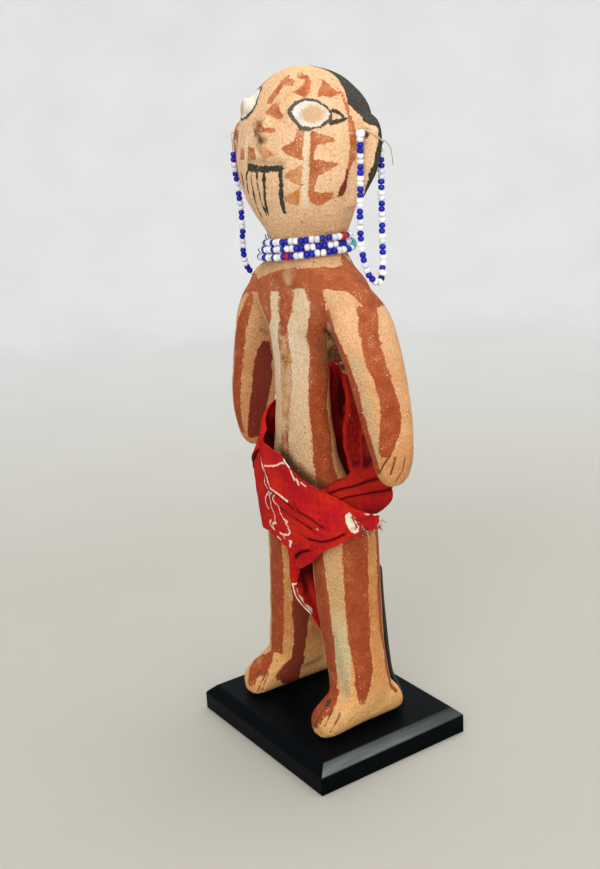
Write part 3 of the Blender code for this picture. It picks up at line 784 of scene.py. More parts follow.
def paint_fields(points):
    """Distance in millimetres to each colour's marks, less than zero inside them."""
    chart = Charts(points)
    count = len(points)
    fields = {name: np.full(count, FAR) for name in PAINTS}
    left = np.where(chart.side > 0, 0.0, FAR)
    right = FAR - left

    def add(name, chosen, distance):
        fields[name][chosen] = np.minimum(fields[name][chosen], distance)

    # Head. What lies on the right cheek, out of reach of the marks above, mirrors the left.
    head = chart.is_head
    u, v = chart.face[head], chart.z[head]
    mirrored = -u
    far_cheek = np.where(u < -15.0, 0.0, FAR)
    for outline in FACE_RED:
        add("red", head, outline_distance(u, v, outline))
        add("red", head, outline_distance(mirrored, v, outline) + far_cheek)
    for outline in FACE_RUST:
        add("rust", head, outline_distance(u, v, outline))
    for across in (u, mirrored):
        add("red", head, line_distance(across, v, EAR_LINE))
        add("dark", head, line_distance(across, v, EAR_DROP))
        add("cream", head, line_distance(across, v, CHEEK_LINE))
    add("cream", head, line_distance(u, v, LIP_LINE))
    add("cream", head, line_distance(u, v, NOSE_LINE))
    add("black", head, outline_distance(u, v, MOUTH_BAR))
    for line in CHIN_LINES:
        add("black", head, line_distance(u, v, line))
    hair = np.interp(v, *np.array(HAIR_EDGE).T) - np.abs(u)
    add("black", head, np.maximum(hair, HAIR_END - v))
    add("eye", head, outline_distance(u, v, EYE_OUTLINE))
    add("eye", head, outline_distance(mirrored, v, RIGHT_EYE_OUTLINE))
    for across, rise in ((u, 0.0), (mirrored, RIGHT_EYE_RISE)):
        add("pupil", head, outline_distance(across, v - rise, EYE_PUPIL))
        for line in EYE_TAILS:
            add("black", head, line_distance(across, v - rise, line))
    # Painted shade in the nostril, and dark spots on the nose.
    for line in (NOSTRIL, *NOSE_MARKS):
        add("smudge", head, line_distance(u, v, line))
    for line in (NOSE_BROWN, MOUTH_BROWN):
        add("soil", head, line_distance(u, v, line))

    # Trunk and shoulders.
    trunk = chart.is_trunk
    turn, z = chart.trunk[trunk], chart.z[trunk]
    add("red", trunk, stripes(turn, z, TRUNK_RED + NECK_SIDE_RED, TRUNK_RADIUS))
    add("red", trunk, stripes(turn % 360.0, z, TRUNK_BACK_RED, TRUNK_RADIUS))
    add("cream", trunk, stripes(turn, z, TRUNK_CREAM, TRUNK_RADIUS))
    add("rust", trunk, stripes(turn, z, CENTRE_OCHRE, TRUNK_RADIUS) + 0.3)
    upper = ~head & (chart.z > 150.0)
    add("red", upper, yoke_distance(chart)[upper])

    # Arms.
    arm = chart.is_arm
    turn, z = chart.arm[arm], chart.arm_z[arm]
    add("red", arm, stripes(turn, z, ARM_RED + ARMPIT_RED, LIMB_RADIUS))
    add("red", arm, stripes(turn, chart.z[arm], LEFT_ARMPIT_RED, LIMB_RADIUS) + left[arm])
    add("green", arm, stripes(turn, z, ARM_GREEN, LIMB_RADIUS) + left[arm])
    add("red", arm, stripes(turn % 360.0, z, ARM_BACK_RED, LIMB_RADIUS))
    add("dark", arm, stripes(turn, z, ARM_DARK, LIMB_RADIUS))

    # Legs and feet.
    leg = chart.is_leg
    turn, z = chart.leg[leg], chart.z[leg]
    low = np.where(z < 20.0, FAR, 0.0)
    add("red", leg, stripes(turn, z, LEG_RED, LEG_RADIUS))
    add("red", leg, stripes(turn % 360.0, z, LEG_BACK_RED, LEG_RADIUS))
    add("dark", leg, stripes(turn, z, LEG_DARK, LEG_RADIUS))
    add("cream", leg, stripes(turn, z, LEG_CREAM, LEG_RADIUS) + left[leg] + low)
    top = np.maximum(0.0, z - 27.0) + np.maximum(0.0, 14.5 - z)
    across, forward = chart.foot_x[leg], chart.foot_y[leg]
    add("red", leg, outline_distance(across, forward, LEFT_FOOT_RED) + top + left[leg])
    add("red", leg, outline_distance(across, forward, RIGHT_FOOT_RED) + top + right[leg])
    add("green", leg, outline_distance(across, forward, FOOT_GREEN) + top + left[leg])
    add("black", leg, line_distance(across, forward, FOOT_SPOT) + top + left[leg])
    scale = math.radians(LEG_RADIUS)
    streak = [(place * scale, height, half) for place, height, half in LEG_GREEN]
    add("green", leg, line_distance(turn * scale, z, streak) + left[leg])

    # Painted shade in the armpit webs, darkest at the back, a painted shadow on the trunk along the
    # cloth's top edge, and a pale run below the neck.
    body = ~head
    place = np.abs(chart.x[body]), chart.y[body], chart.z[body]
    add("soil", body, ball_gap(*place, *WEB_SHADE))
    add("smudge", body, ball_gap(*place, *WEB_DEPTH))
    add("smudge", body, route_distance(points[body], ARMPIT_SLIT) - 0.45)
    slit_shade = [(angle * ARM_DEGREE, height, 0.35) for angle, height in FAR_ARMPIT_SHADE]
    add("smudge", arm, line_distance(chart.arm[arm] * ARM_DEGREE, chart.z[arm], slit_shade) + right[arm])
    turn, z = chart.trunk[trunk] * TRUNK_DEGREE, chart.z[trunk]
    edge_shadow = [(angle * TRUNK_DEGREE, height, half) for angle, height, half in CLOTH_EDGE_SHADOW]
    add("under", trunk, line_distance(turn, z, edge_shadow))
    add("pale", trunk, line_distance(turn, z, NECK_RUN))
    return fields, chart


def cut_depths(chart, fields):
    """How deep the clay is cut at each point: finger and toe cuts, armpit slit, ear holes, nostril
    and mouth.
    """
    depth = np.zeros(len(chart.z))
    reach = np.zeros(len(chart.z))
    arm = chart.is_arm & (chart.arm_z < 122.0)
    turn = np.radians(chart.arm[arm]) * HAND_RADIUS
    for line in FINGER_CUTS:
        stations = [(math.radians(angle) * HAND_RADIUS, height, 0.0) for angle, height in line]
        gap = line_distance(turn, chart.arm_z[arm], stations)
        reach[arm] = np.maximum(reach[arm], bell(gap, 0.32))
    for route in TOE_CUTS:
        reach = np.maximum(reach, bell(route_distance(chart.points, route), 0.40))
    reach = np.maximum(reach, 0.9 * bell(route_distance(chart.points, ARMPIT_SLIT), 0.55))
    depth += 0.95 * reach
    # Holes through the ears, sunk from both sides, then the nostril and the mouth.
    own = turned(chart.points, -HEAD_TURN)
    hole = np.hypot(np.abs(own[:, 0]) - EAR_HOLE[0], chart.z - EAR_HOLE[1])
    hole = np.exp(-(hole / 1.25) ** 6) * chart.is_head
    depth += 2.2 * hole
    reach = np.maximum(reach, hole)
    for gap, deep, wide in (
        (line_distance(chart.face, chart.z, NOSTRIL), 0.7, 0.7),
        (outline_distance(chart.face, chart.z, MOUTH_BAR), 0.35, 0.6),
    ):
        depth += np.where(chart.is_head, deep * bell(np.maximum(gap, 0.0), wide), 0.0)
    # Grime and painted shade in the cuts, the slit and the ear holes, strongest where the cuts are.
    fields["grime"] = reach
    return depth


# ---------------------------------------------------------------------------
# Materials
# ---------------------------------------------------------------------------

class Finish:
    """A node material put together step by step. Each step returns its output socket."""

    def __init__(self, name, **sockets):
        self.material = bpy.data.materials.new(name)
        self.material.use_nodes = True
        self.tree = self.material.node_tree
        self.shader = self.tree.nodes["Principled BSDF"]
        for label, value in sockets.items():
            self.shader.inputs[label.replace("_", " ")].default_value = value
        self.place = self.node("ShaderNodeTexCoord").outputs["Object"]

    def node(self, kind, **settings):
        made = self.tree.nodes.new(kind)
        for label, value in settings.items():
            setattr(made, label, value)
        return made

    def feed(self, socket, value):
        if isinstance(value, bpy.types.NodeSocket):
            self.tree.links.new(value, socket)
        else:
            socket.default_value = value

    def noise(self, scale, detail, stretch=None):
        made = self.node("ShaderNodeTexNoise")
        place = self.place
        if stretch:
            mapping = self.node("ShaderNodeMapping")
            mapping.inputs["Scale"].default_value = stretch
            self.feed(mapping.inputs["Vector"], place)
            place = mapping.outputs["Vector"]
        self.feed(made.inputs["Vector"], place)
        made.inputs["Scale"].default_value = scale
        made.inputs["Detail"].default_value = detail
        return made.outputs["Fac"]

    def dots(self, scale, size, share):
        """Small round dots of several sizes in a share of the cells."""
        made = self.node("ShaderNodeTexVoronoi")
        self.feed(made.inputs["Vector"], self.place)
        made.inputs["Scale"].default_value = scale
        apart = self.node("ShaderNodeSeparateColor")
        self.feed(apart.inputs[0], made.outputs["Color"])
        radius = self.ramp(apart.outputs[0], 1.0 - share, 1.0, 0.0, size * 1.6)
        gap = self.math("SUBTRACT", made.outputs["Distance"], radius)
        return self.ramp(gap, size * 0.3, -size * 0.3)

    def field(self, name, output="Fac"):
        return self.node("ShaderNodeAttribute", attribute_name=name).outputs[output]

    def math(self, operation, first, second=0.0):
        made = self.node("ShaderNodeMath", operation=operation)
        self.feed(made.inputs[0], first)
        self.feed(made.inputs[1], second)
        return made.outputs[0]

    def plus(self, first, second):
        return self.math("ADD", first, second)

    def times(self, first, second):
        return self.math("MULTIPLY", first, second)

    def ramp(self, value, start, end, low=0.0, high=1.0):
        made = self.node("ShaderNodeMapRange")
        for socket, number in zip(made.inputs, (value, start, end, low, high)):
            self.feed(socket, number)
        return made.outputs[0]

    def mix(self, share, first, second):
        made = self.node("ShaderNodeMix", data_type="RGBA")
        self.feed(made.inputs[0], share)
        self.feed(made.inputs[6], (*first, 1.0) if isinstance(first, tuple) else first)
        self.feed(made.inputs[7], (*second, 1.0) if isinstance(second, tuple) else second)
        return made.outputs[2]

    def height(self):
        made = self.node("ShaderNodeSeparateXYZ")
        self.feed(made.inputs[0], self.place)
        return made.outputs["Z"]

    def bump(self, height, distance, strength=1.0, under=None):
        made = self.node("ShaderNodeBump")
        made.inputs["Strength"].default_value = strength
        made.inputs["Distance"].default_value = distance
        self.feed(made.inputs["Height"], height)
        if under:
            self.feed(made.inputs["Normal"], under)
        return made.outputs["Normal"]

    def colour(self, value):
        self.feed(self.shader.inputs["Base Color"], value)

    def rough(self, value):
        self.feed(self.shader.inputs["Roughness"], value)

    def normal(self, value):
        self.feed(self.shader.inputs["Normal"], value)


def painted_clay(settings):
    """Buff clay with earth paints: each mark is its distance field, cut off along a ragged edge."""
    finish = Finish("painted_clay", Specular_IOR_Level=0.25)
    mix, ramp, field, bump = finish.mix, finish.ramp, finish.field, finish.bump
    plus, times, high = finish.plus, finish.times, finish.height()
    broad = finish.noise(45.0, 3.0)
    medium = finish.noise(240.0, 3.0)
    fine = finish.noise(1100.0, 2.0)
    grit = finish.noise(2800.0, 1.0)
    streak = finish.noise(150.0, 3.0, stretch=(1.0, 1.0, 0.2))
    upper = ramp(high, 0.085, 0.205)
    pits = finish.math("MAXIMUM", finish.dots(430.0, 0.085, 0.6), finish.dots(800.0, 0.10, 0.45))
    grains = finish.math("MAXIMUM", finish.dots(520.0, 0.10, 0.45), finish.dots(1300.0, 0.12, 0.3))

    ragged = plus(ramp(fine, 0.3, 0.7, -0.22, 0.22), ramp(medium, 0.3, 0.7, -0.4, 0.4))

    def painted(name, soft=0.16):
        return ramp(plus(field(name), ragged), soft, -soft)

    def stained(name, edge, inside, low=0.0, most=1.0):
        return ramp(plus(field(name), ragged), edge, inside, low, most)

    clay = mix(upper, tuple(settings.clay_low), tuple(settings.clay_high))
    shade = mix(upper, (0.44, 0.14, 0.032), (0.56, 0.30, 0.12))
    clay = mix(ramp(broad, 0.38, 0.68, 0.0, 0.7), clay, shade)
    clay = mix(ramp(medium, 0.52, 0.75, 0.0, 0.4), clay, (0.74, 0.50, 0.30))
    clay = mix(ramp(streak, 0.58, 0.72, 0.0, 0.4), clay, (0.50, 0.24, 0.085))
    clay = mix(ramp(high, 0.036, 0.020, 0.0, 0.8), clay, (0.68, 0.38, 0.135))
    neck = ramp(high, 0.188, 0.198)
    # Paler clay on the face, most on the lower face and the chin: partly the clay's own tone,
    # partly painted light.
    pale_face_and_painted_light = times(neck, ramp(high, 0.236, 0.222, 0.25, 1.0))
    pale_face_and_painted_light = times(pale_face_and_painted_light, ramp(broad, 0.35, 0.65, 0.85, 0.40))
    clay = mix(pale_face_and_painted_light, clay, (0.80, 0.51, 0.30))

    cream = mix(upper, tuple(settings.cream_low), tuple(settings.cream_high))
    stain = ramp(streak, 0.50, 0.70, 0.0, 0.5)
    cream = mix(stain, cream, mix(upper, (0.50, 0.22, 0.07), (0.62, 0.40, 0.19)))
    thin = times(ramp(medium, 0.3, 0.62, 0.70, 1.0), ramp(high, 0.024, 0.042))
    creamed = painted("cream", 0.4)
    colour = mix(times(creamed, thin), clay, cream)
    cool = times(creamed, ramp(broad, 0.40, 0.58, 0.25, 0.8))
    cool = times(cool, ramp(high, 0.128, 0.152, 0.25, 1.0))
    colour = mix(cool, colour, (0.70, 0.63, 0.47))
    low = times(creamed, ramp(high, 0.060, 0.044, 0.0, 0.75))
    low = times(low, ramp(high, 0.022, 0.038))
    colour = mix(low, colour, (0.55, 0.47, 0.28))
    green = times(stained("green", 1.2, -1.6), ramp(streak, 0.36, 0.60, 0.25, 0.9))
    tint = mix(ramp(high, 0.050, 0.110), (0.27, 0.245, 0.14), (0.44, 0.38, 0.22))
    colour = mix(green, colour, tint)
    speck = ramp(fine, 0.30, 0.72, -0.16, 0.14)
    colour = mix(finish.math("MAXIMUM", speck, 0.0), colour, (0.82, 0.62, 0.42))
    colour = mix(finish.math("MAXIMUM", times(speck, -1.5), 0.0), colour, (0.34, 0.16, 0.06))
    colour = mix(times(pits, 0.8), colour, (0.14, 0.06, 0.025))

    # Worn paint lets the clay through in grains.
    mixed = plus(times(grit, 0.55), times(medium, 0.45))
    least = ramp(field("worn"), 0.0, 1.0, 0.33, 0.63)
    worn = ramp(finish.math("SUBTRACT", mixed, least), -0.03, 0.06)
    keep = times(worn, ramp(grains, 0.0, 1.0, 1.0, 0.25))

    rust = times(painted("rust", 0.3), ramp(medium, 0.3, 0.6, 0.35, 0.95))
    colour = mix(rust, colour, mix(neck, (0.50, 0.27, 0.095), (0.50, 0.17, 0.028)))

    slip_low = mix(broad, tuple(settings.slip_low), (0.34, 0.060, 0.014))
    slip_high = mix(broad, tuple(settings.slip_high), (0.46, 0.120, 0.038))
    slip = mix(ramp(high, 0.135, 0.18), slip_low, slip_high)
    slip = mix(neck, slip, (0.46, 0.125, 0.038))
    slip = mix(ramp(medium, 0.5, 0.7, 0.0, 0.45), slip, (0.20, 0.030, 0.010))
    slip = mix(ramp(grit, 0.60, 0.72, 0.0, 0.4), slip, (0.56, 0.21, 0.075))
    colour = mix(times(painted("red"), keep), colour, slip)

    # Darker red paint below the ears and on the inner sides of the arms and legs, where it is
    # partly painted shade.
    dark = mix(broad, (0.15, 0.018, 0.007), (0.23, 0.034, 0.012))
    dark = mix(ramp(grains, 0.0, 1.0, 0.0, 0.5), dark, (0.45, 0.17, 0.07))
    colour = mix(painted("dark"), colour, dark)

    # Brown marks on the nose and the mouth, and painted shade in the armpit webs.
    soil = times(stained("soil", 1.4, -1.6), ramp(fine, 0.35, 0.62, 0.25, 0.85))
    colour = mix(soil, colour, (0.24, 0.115, 0.035))
    # Painted shade in the nostril, the armpit slits and the back of the webs, and dark spots on the
    # nose.
    smudge = times(stained("smudge", 0.7, -0.7), ramp(fine, 0.32, 0.5, 0.55, 0.95))
    colour = mix(smudge, colour, (0.075, 0.022, 0.007))
    # Painted shadow on the trunk along the cloth's top edge.
    colour = mix(stained("under", 1.4, -1.4, 0.0, 0.88), colour, (0.070, 0.022, 0.007))
    colour = mix(stained("pale", 0.6, -0.5, 0.0, 0.4), colour, (0.68, 0.46, 0.30))

    # Sand in the clay shows through every paint, a little darker and lighter.
    sand = finish.node("ShaderNodeHueSaturation")
    finish.feed(sand.inputs["Color"], colour)
    finish.feed(sand.inputs["Value"], ramp(finish.noise(1500.0, 2.0), 0.33, 0.67, 0.85, 1.13))
    colour = sand.outputs["Color"]
    flecks = times(finish.dots(600.0, 0.10, 0.28), 0.75)
    colour = mix(flecks, colour, (0.80, 0.50, 0.28))

    white = mix(ramp(medium, 0.35, 0.65), tuple(settings.white), (0.70, 0.60, 0.48))
    white = mix(ramp(grit, 0.62, 0.75, 0.0, 0.6), white, (0.55, 0.33, 0.18))
    colour = mix(painted("eye", 0.2), colour, white)
    iris = mix(fine, (0.62, 0.37, 0.19), (0.70, 0.47, 0.28))
    colour = mix(painted("pupil", 0.7), colour, iris)
    ring = finish.math("SUBTRACT", finish.math("ABSOLUTE", field("eye")), 0.55)
    ink = mix(ramp(fine, 0.3, 0.7), tuple(settings.black), (0.060, 0.050, 0.036))
    ring = ramp(plus(ring, ragged), 0.14, -0.14, 0.0, 0.92)
    colour = mix(ring, colour, ink)
    chips = ramp(grains, 0.0, 1.0, 1.0, 0.45)
    colour = mix(times(painted("black"), chips), colour, ink)

    # Grime and painted shade in the finger and toe cuts, the armpit slit and the ear holes.
    grime = ramp(field("grime"), 0.30, 0.85, 0.0, 0.85)
    finish.colour(mix(grime, colour, (0.13, 0.045, 0.014)))
    finish.rough(ramp(broad, 0.3, 0.7, 0.74, 0.9))
    grain = bump(fine, 0.0006, 0.7, bump(grit, 0.0003, 0.8))
    grain = bump(finish.math("SUBTRACT", 1.0, pits), 0.00035, 0.7, grain)
    finish.normal(bump(medium, 0.0010, 0.35, grain))
    return finish.material


def black_lacquer(settings):
    """Satin black lacquer on wood: a faint grain, dust, and a painted highlight, a grey band on one
    bevel.
    """
    finish = Finish("black_lacquer", Specular_IOR_Level=0.035)
    broad = finish.noise(30.0, 3.0)
    dust = finish.ramp(finish.noise(2600.0, 1.0), 0.76, 0.82, 0.0, 0.08)
    colour = finish.mix(broad, tuple(settings.lacquer), (0.0006, 0.0022, 0.0032))
    colour = finish.mix(dust, colour, (0.09, 0.09, 0.085))
    axes = finish.node("ShaderNodeSeparateXYZ")
    finish.feed(axes.inputs[0], finish.place)
    across, along, up = axes.outputs
    grain = finish.noise(500.0, 3.0, stretch=(1.0, 0.15, 1.0))
    # Painted highlight: a grey band along the bevel on the +X side, brightest towards the front.
    painted_highlight = finish.ramp(across, 0.0362, 0.0368)
    for share in (
        finish.ramp(along, 0.030, -0.029, 0.45, 1.0),
        finish.ramp(up, 0.0070, 0.0076),
        finish.ramp(finish.plus(across, along), 0.0064, 0.0068),
        finish.ramp(up, 0.0105, 0.0076, 0.45, 1.0),
        finish.ramp(grain, 0.25, 0.7, 0.6, 1.0),
    ):
        painted_highlight = finish.times(painted_highlight, share)
    finish.colour(finish.mix(painted_highlight, colour, (0.165, 0.18, 0.17)))
    finish.rough(finish.ramp(broad, 0.3, 0.7, 0.30, 0.42))
    peel = finish.bump(finish.noise(420.0, 2.0), 0.0005, 0.10)
    lines = finish.noise(60.0, 3.0, stretch=(1.0, 14.0, 14.0))
    finish.normal(finish.bump(lines, 0.0006, 0.10, peel))
    return finish.material


def black_rod(settings):
    """Matt black paint on drawn steel."""
    finish = Finish("black_rod", Metallic=0.2)
    grain = finish.noise(900.0, 2.0)
    finish.colour(finish.mix(grain, tuple(settings.lacquer), (0.03, 0.03, 0.03)))
    finish.rough(finish.ramp(grain, 0.3, 0.7, 0.42, 0.6))
    finish.normal(finish.bump(grain, 0.0002, 0.3))
    return finish.material


def bead_glass():
    """Shiny opaque seed beads, each with its own colour, a little cloudy here and there."""
    finish = Finish("bead_glass", Specular_IOR_Level=0.3, Roughness=0.12)
    tint = finish.field("tint", "Color")
    cloud = finish.ramp(finish.noise(900.0, 2.0), 0.35, 0.65)
    deep = finish.node("ShaderNodeMix", data_type="RGBA", blend_type="MULTIPLY")
    deep.inputs[0].default_value = 1.0
    finish.feed(deep.inputs[6], tint)
    deep.inputs[7].default_value = (0.72, 0.72, 0.80, 1.0)
    finish.colour(finish.mix(cloud, deep.outputs[2], tint))
    finish.normal(finish.bump(finish.noise(500.0, 2.0), 0.0002, 0.25))
    return finish.material


def thread_fibre(name, shade):
    """Twisted cotton thread: fine slanting darker lines."""
    finish = Finish(name, Roughness=0.8, Specular_IOR_Level=0.2)
    twist = finish.ramp(finish.noise(3000.0, 1.0, stretch=(1.0, 1.0, 0.5)), 0.35, 0.65)
    finish.colour(finish.mix(twist, tuple(0.6 * part for part in shade), shade))
    finish.normal(finish.bump(twist, 0.0001, 0.5))
    return finish.material


def printed_cotton(settings):
    """Red plain-weave cotton with a white line print: threads each way, fuzz, painted shade and
    fading.
    """
    finish = Finish("red_cotton", Roughness=0.95, Specular_IOR_Level=0.04)
    mix, ramp, bump = finish.mix, finish.ramp, finish.bump
    flat = finish.node("ShaderNodeUVMap", uv_map="flat").outputs["UV"]
    broad = finish.noise(70.0, 3.0)
    medium = finish.noise(300.0, 3.0)
    fine = finish.noise(1200.0, 2.0)
    fuzz = finish.noise(3600.0, 2.0)

    def threads(axis):
        wave = finish.node("ShaderNodeTexWave", bands_direction=axis)
        finish.feed(wave.inputs["Vector"], flat)
        wave.inputs["Scale"].default_value = settings.threads / 20.0 / MM
        wave.inputs["Distortion"].default_value = 0.6
        wave.inputs["Detail"].default_value = 1.0
        return wave.outputs["Fac"]

    weave = finish.plus(threads("X"), threads("Y"))
    colour = mix(ramp(broad, 0.38, 0.62), tuple(settings.cloth_red), (0.42, 0.009, 0.014))
    colour = mix(ramp(medium, 0.5, 0.72, 0.0, 0.4), colour, (0.33, 0.007, 0.008))
    colour = mix(ramp(fine, 0.55, 0.75, 0.0, 0.3), colour, (0.66, 0.05, 0.03))
    ragged = ramp(fine, 0.3, 0.7, -0.14, 0.14)
    white = ramp(finish.plus(finish.field("white"), ragged), 0.10, -0.10, 0.0, 0.94)
    colour = mix(white, colour, (0.82, 0.72, 0.56))
    colour = mix(ramp(weave, 0.4, 1.0, 0.16, 0.0), colour, (0.14, 0.005, 0.004))
    # Painted shade of the back layer's hollow, only on the side of the sheet that faces the body.
    turned_in = finish.node("ShaderNodeVectorMath", operation="DOT_PRODUCT")
    finish.feed(turned_in.inputs[0], finish.node("ShaderNodeNewGeometry").outputs["Normal"])
    finish.feed(turned_in.inputs[1], finish.place)
    inner = ramp(turned_in.outputs["Value"], 0.001, -0.001)
    inner = finish.times(inner, finish.field("inner"))
    shade = ramp(finish.math("MAXIMUM", finish.field("shade"), inner), 0.10, 0.80, 0.0, 0.92)
    finish.colour(mix(shade, colour, (0.045, 0.0015, 0.002)))
    grain = bump(fuzz, 0.0003, 0.4, bump(weave, 0.00012, 0.7))
    finish.normal(bump(medium, 0.0012, 0.25, grain))
    return finish.material


def studio_floor(settings):
    """Pale paper with a faint mottle, warmer and darker on the floor than up the wall: one paper in
    two tones, as painted light.
    """
    finish = Finish("studio_floor", Roughness=0.95, Specular_IOR_Level=0.1)
    axes = finish.node("ShaderNodeSeparateXYZ")
    finish.feed(axes.inputs[0], finish.place)
    across, along, _ = axes.outputs
    away = finish.plus(finish.times(across, across), finish.times(along, along))
    up = finish.math("MAXIMUM", finish.ramp(finish.height(), 0.0, 0.20),
                     finish.ramp(finish.math("SQRT", away), 0.20, 0.80))
    paper_painted_light = finish.mix(up, tuple(settings.floor_colour), tuple(settings.wall_colour))
    mottle = finish.ramp(finish.noise(14.0, 5.0), 0.35, 0.65, 0.0, 0.08)
    finish.colour(finish.mix(mottle, paper_painted_light, (0.36, 0.33, 0.26)))
    return finish.material


# ---------------------------------------------------------------------------
# Beads and threads
# ---------------------------------------------------------------------------

NECK_BEAD = 1.95
LOOP_BEAD = 1.76
BEAD_RADIUS = 1.2
# Strands: name, height, how far it rises to the left side, its beads from the right side
# round the front, and the angle where they start.
STRANDS = (
    ("top", 188.9, 1.9, "wnwwnnwwnnwwnnwwRn", -21),
    ("middle", 186.5, 1.8, "wnwwnwwnnwwnnwwnnwwkt", -22),
    ("bottom", 183.8, 2.3, "wnwwnRnwwnnwwnn", -20),
)
STRAND_CLEARANCE = 0.9
FILL = "wwbb"
LEFT_BEADS = "Ww" + "bbww" * 6 + "bbwwk" + "Wbww" + "bbww" * 5 + "www"
RIGHT_BEADS = "..." + "bbww" * 14
LEFT_LOOP = (
    (30.9, 1.4, 225.1),
    (30.8, 1.2, 217),
    (31, 0.4, 205),
    (31.4, -0.4, 194),
    (32, -0.3, 186),
    (33, 0.9, 180),
    (33.3, 3.2, 177),
    (33, 5.8, 176.6),
    (32, 7.8, 180),
    (31, 8.9, 190),
    (30.1, 9.8, 203),
    (29.4, 10.7, 213),
    (29, 11.2, 219.5),
)
RIGHT_LOOP = (
    (-29.1, -9.7, 223.5),
    (-30.2, -8.8, 214),
    (-30.8, -7.4, 204),
    (-31.6, -6.2, 194),
    (-32.8, -5.8, 185),
    (-34, -4.6, 178),
    (-34.6, -1.8, 174.2),
    (-34.2, 2, 174),
    (-33.4, 4.4, 177),
    (-32, 5.6, 185),
    (-31, 5.4, 196),
    (-31.2, 4.2, 208),
    (-31.8, 2.8, 219.5),
)
# The threads beyond the beads: over the ear to its hole, and a loose end.
LEFT_KNOT = ((29, 11.2, 219.5), (30.4, 11.2, 221.2), (33, 9.4, 221.4), (34.1, 7.6, 221.6),
             (34.2, 5.9, 223), (33.4, 4.4, 224.2), (31.6, 3, 225.2), (30.9, 1.6, 225.3))
LEFT_TAIL = ((33.9, 7.4, 222), (34, 9.6, 221), (33.4, 11.6, 218.8), (32.6, 12.8, 216.2),
             (32, 13.6, 213.4))
RIGHT_KNOT = ((-31.8, 2.8, 219.5), (-32.4, 1.6, 221.8), (-32.2, -2, 223.6), (-31.2, -5.6, 224.6),
              (-29.8, -9.2, 224.8), (-29.2, -9.8, 224))
RIGHT_TAIL = ((-32.3, 0.8, 222.6), (-33, 3.2, 221.6), (-33.4, 4.4, 218.6), (-33.2, 4.8, 215.4))
# Bead colours and sizes by letter.
BEAD_COLOURS = {
    "w": (0.92, 0.93, 0.95),
    "W": (0.92, 0.93, 0.95),
    "b": (0.004, 0.010, 0.42),
    "n": (0.006, 0.013, 0.40),
    "k": (0.002, 0.003, 0.045),
    "R": (0.55, 0.004, 0.008),
    "t": (0.12, 0.52, 0.68),
}
BEAD_SIZES = {"w": 1.06, "W": 1.32, "b": 0.97, "n": 0.99, "k": 0.97, "R": 1.22, "t": 2.1}
# Rows and columns of a bead, the radius of its hole, half its length against the pitch, and
# how far the large bead hangs below its strand.
BEAD_GRID = (6, 10)
HOLE_RADIUS = 0.40
BEAD_HALF = 0.49
LARGE_BEAD_DROP = 1.2
NECK_THREAD = 0.17
# A strand's thread begins and ends here, measured from its place on the neck's right side.
THREAD_START = ((-1.2, -1, 2.2), (-2, -0.4, 1.2))
THREAD_END = (-0.9, 0.6, -1.4)
EAR_THREAD = 0.22


def lengths_along(route):
    """Length from a line's first point to each of its points."""
    steps = np.linalg.norm(np.diff(route, axis=0), axis=1)
    return np.concatenate(([0.0], np.cumsum(steps)))


def along_path(route, places, closed):
    """Points at the given lengths along a line, and the directions there."""
    route = np.asarray(route, dtype=float)
    if closed:
        route = np.vstack((route, route[0]))
    length = lengths_along(route)
    reach = 0.4

    def at(value):
        if closed:
            value = value % length[-1]
        return np.column_stack([np.interp(value, length, route[:, k]) for k in range(3)])

    return at(places), unit(at(places + reach) - at(places - reach))


def path_length(route, closed=False):
    """Length of a line of points."""
    route = np.asarray(route, dtype=float)
    if closed:
        route = np.vstack((route, route[0]))
    return float(np.linalg.norm(np.diff(route, axis=0), axis=1).sum())


